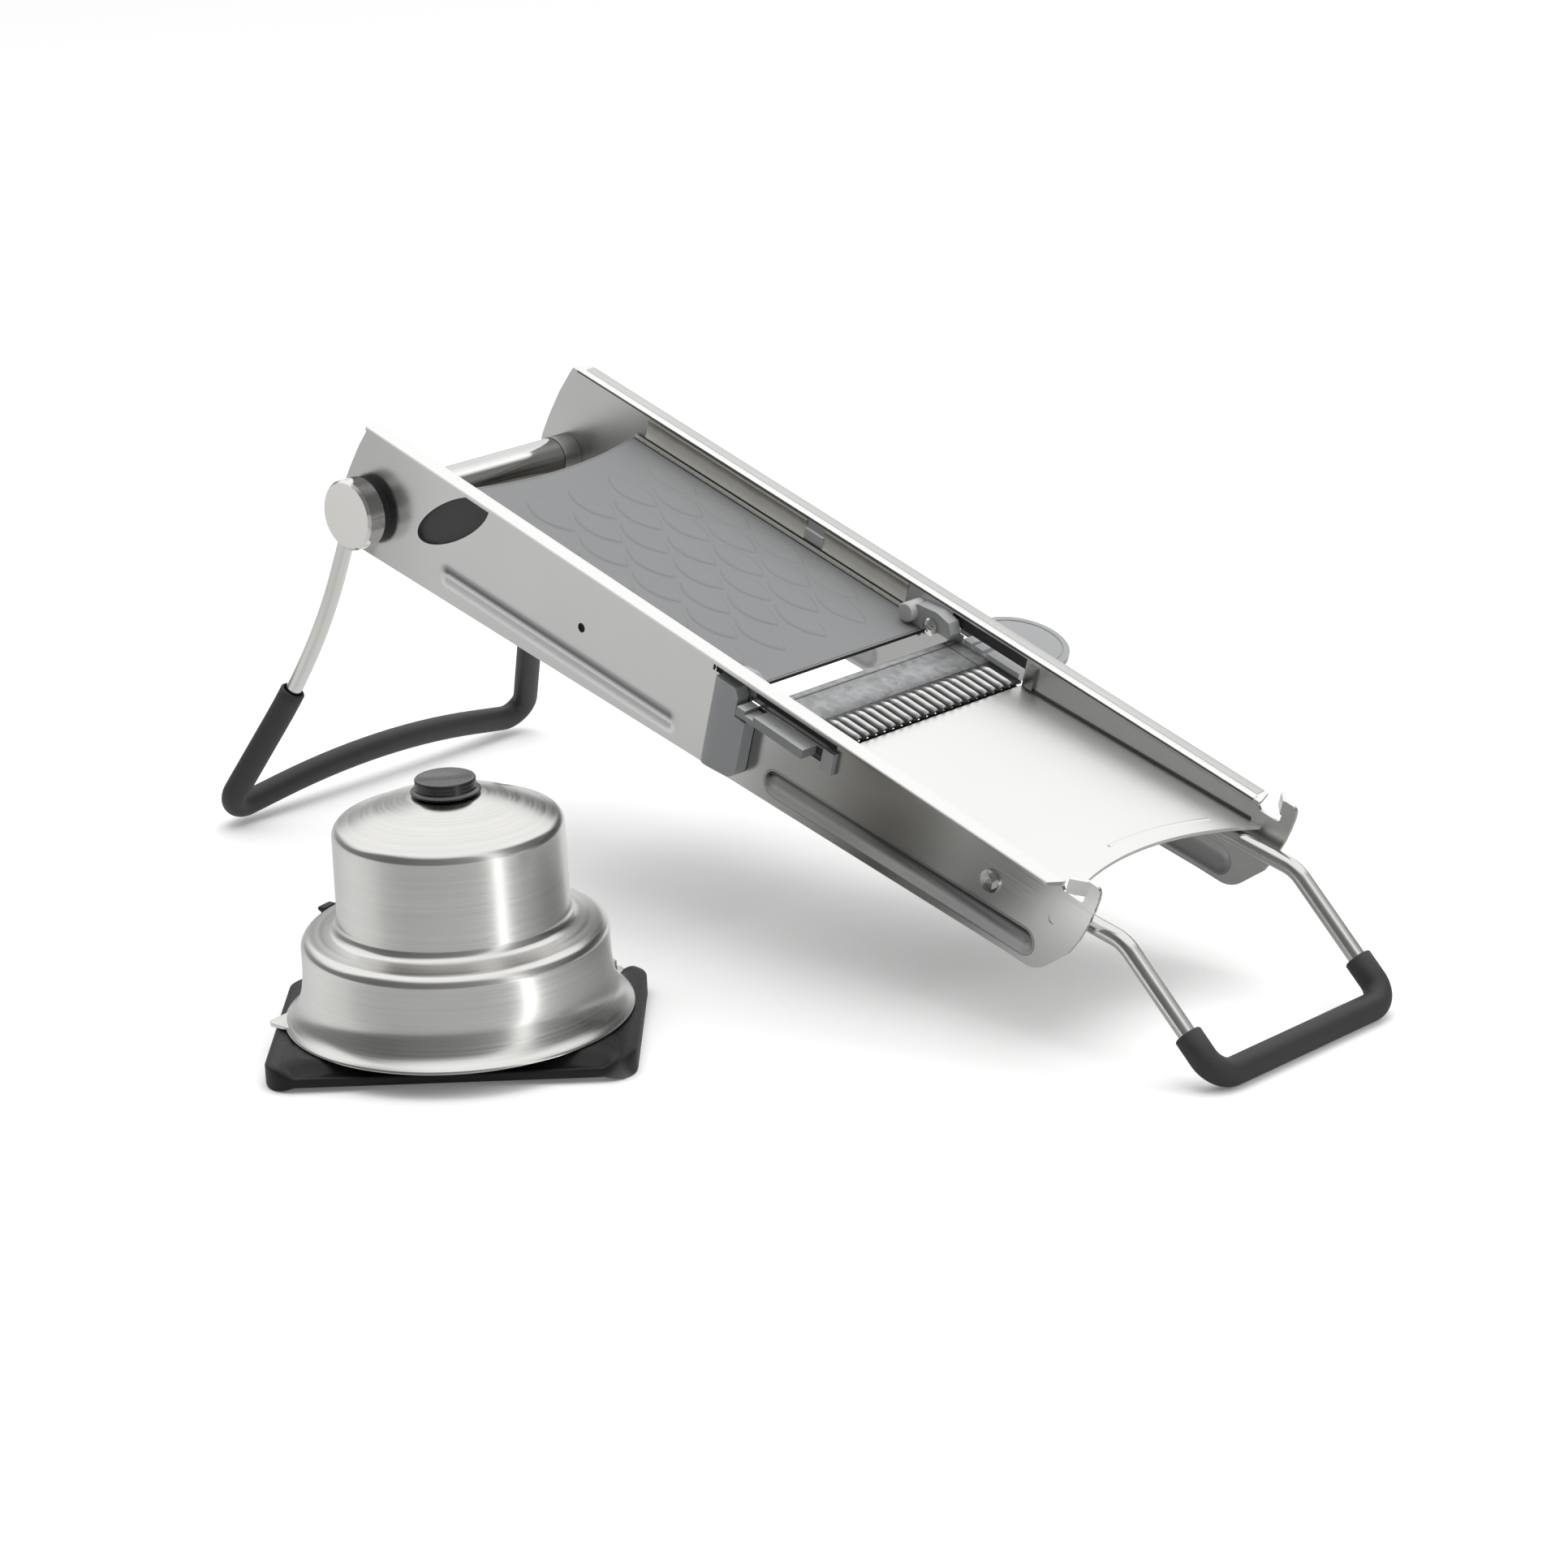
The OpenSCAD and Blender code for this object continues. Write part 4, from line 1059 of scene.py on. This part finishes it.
# how far the walls reach above the horizon, as a share of straight up
SKYLINE = [(-180, 0.05), (-150, 0.1), (-125, 0.5), (-20, 0.5), (-6, 0.3), (12, 0.3), (24, 0.5), (60, 0.35),
           (95, 0.0), (143, 0.0), (150, 0.22), (155, 0.22), (160, 0.0), (180, 0.05)]
OVERHEAD = 1.22                 # brightness above the walls
FLOOR_LIFT = 0.12               # extra brightness of the floor seen directly
FLOOR_MIRROR = 0.95             # brightness of the floor seen in metal
FLOOR_SHARE = 0.7               # how much of the floor seen in metal follows FLOOR_LIGHT


def room_light(name, levels):
    """Node group: brightness by the compass direction of a vector."""
    group = bpy.data.node_groups.new(name, "ShaderNodeTree")
    group.interface.new_socket("Vector", in_out="INPUT", socket_type="NodeSocketVector")
    group.interface.new_socket("Color", in_out="OUTPUT", socket_type="NodeSocketColor")
    tree = Tree(group)
    toward, leave = tree.node("NodeGroupInput").outputs[0], tree.node("NodeGroupOutput")
    share = tree.node("ShaderNodeMapRange", From_Min=-math.pi, From_Max=math.pi)
    tree.link(tree.maths("ARCTAN2", tree.part(toward, "Y"), tree.part(toward, "X")), share.inputs["Value"])
    stops = [((degrees + 180) / 360, [level] * 3) for degrees, level in levels]
    tree.link(tree.stops(share.outputs["Result"], stops), leave.inputs[0])
    return group


def make_floor(room):
    """A wide pale sheet that reads white where no shadow falls; metal mirrors it as part of the room."""
    size = 12
    corners = [(-size, -size, 0), (size, -size, 0), (size, size, 0), (-size, size, 0)]
    mesh = bpy.data.meshes.new("floor")
    mesh.from_pydata(corners, [], [(0, 1, 2, 3)])
    sh = Shader("floor_paper", (0.93, 0.93, 0.925), 0.9)
    sh.set("Specular IOR Level", 0.1)
    rays = sh.node("ShaderNodeLightPath")
    sh.set("Emission Color", (1, 1, 1, 1))
    lift = sh.maths("MULTIPLY", rays.outputs["Is Camera Ray"], FLOOR_LIFT)
    sh.link(lift, sh.bsdf.inputs["Emission Strength"])
    shift = sh.node("ShaderNodeVectorMath", operation="SUBTRACT")
    sh.link(sh.coords, shift.inputs[0])
    shift.inputs[1].default_value = PUSHER
    glow = sh.node("ShaderNodeEmission", Strength=FLOOR_MIRROR)
    sh.link(sh.group(room, shift.outputs["Vector"]), glow.inputs["Color"])
    mix = sh.node("ShaderNodeMixShader")
    sh.link(sh.maths("MULTIPLY", rays.outputs["Is Glossy Ray"], FLOOR_SHARE), mix.inputs["Fac"])
    sh.link(sh.bsdf.outputs["BSDF"], mix.inputs[1])
    sh.link(glow.outputs["Emission"], mix.inputs[2])
    sh.link(mix.outputs["Shader"], sh.tree.nodes["Material Output"].inputs["Surface"])
    mesh.materials.append(sh.mat)
    floor = bpy.data.objects.new("floor", mesh)
    bpy.context.scene.collection.objects.link(floor)


def make_world(room, skyline):
    """White for the camera; for light and reflections a studio with lighter and darker parts."""
    world = bpy.data.worlds.new("studio")
    bpy.context.scene.world = world
    world.use_nodes = True
    tree = Tree(world.node_tree)
    toward = tree.node("ShaderNodeTexCoord").outputs["Generated"]
    above = tree.maths("SUBTRACT", tree.part(toward, "Z"), tree.group(skyline, toward))
    lift = tree.node("ShaderNodeMapRange", interpolation_type="SMOOTHSTEP", From_Min=0.18, From_Max=0.45)
    tree.link(above, lift.inputs["Value"])
    studio = tree.mix(lift.outputs["Result"], tree.group(room, toward), [OVERHEAD] * 3)
    seen = tree.mix(tree.node("ShaderNodeLightPath").outputs["Is Camera Ray"], studio, (1, 1, 1))
    tree.link(seen, tree.tree.nodes["Background"].inputs["Color"])


def make_lamp(name, place, target, size, watts):
    light = bpy.data.lights.new(name, "AREA")
    light.shape = "RECTANGLE"
    light.size, light.size_y = size
    light.energy = watts
    lamp = bpy.data.objects.new(name, light)
    bpy.context.scene.collection.objects.link(lamp)
    lamp.location = place
    lamp.visible_glossy = False
    lamp.rotation_mode = "QUATERNION"
    lamp.rotation_quaternion = (Vector(target) - Vector(place)).to_track_quat("-Z", "Y")


make_camera()
make_floor(room_light("floor_light", FLOOR_LIGHT))
make_world(room_light("wall_light", WALL_LIGHT), room_light("skyline", SKYLINE))
make_lamp("overhead", (0.1, 0.2, 1.9), (0.15, 0, 0), (1.6, 1.6), 15)
make_lamp("side", (1.7, 0.9, 0.9), (0.15, 0, 0.05), (0.9, 0.9), 9)
bpy.context.scene.view_settings.view_transform = "Standard"
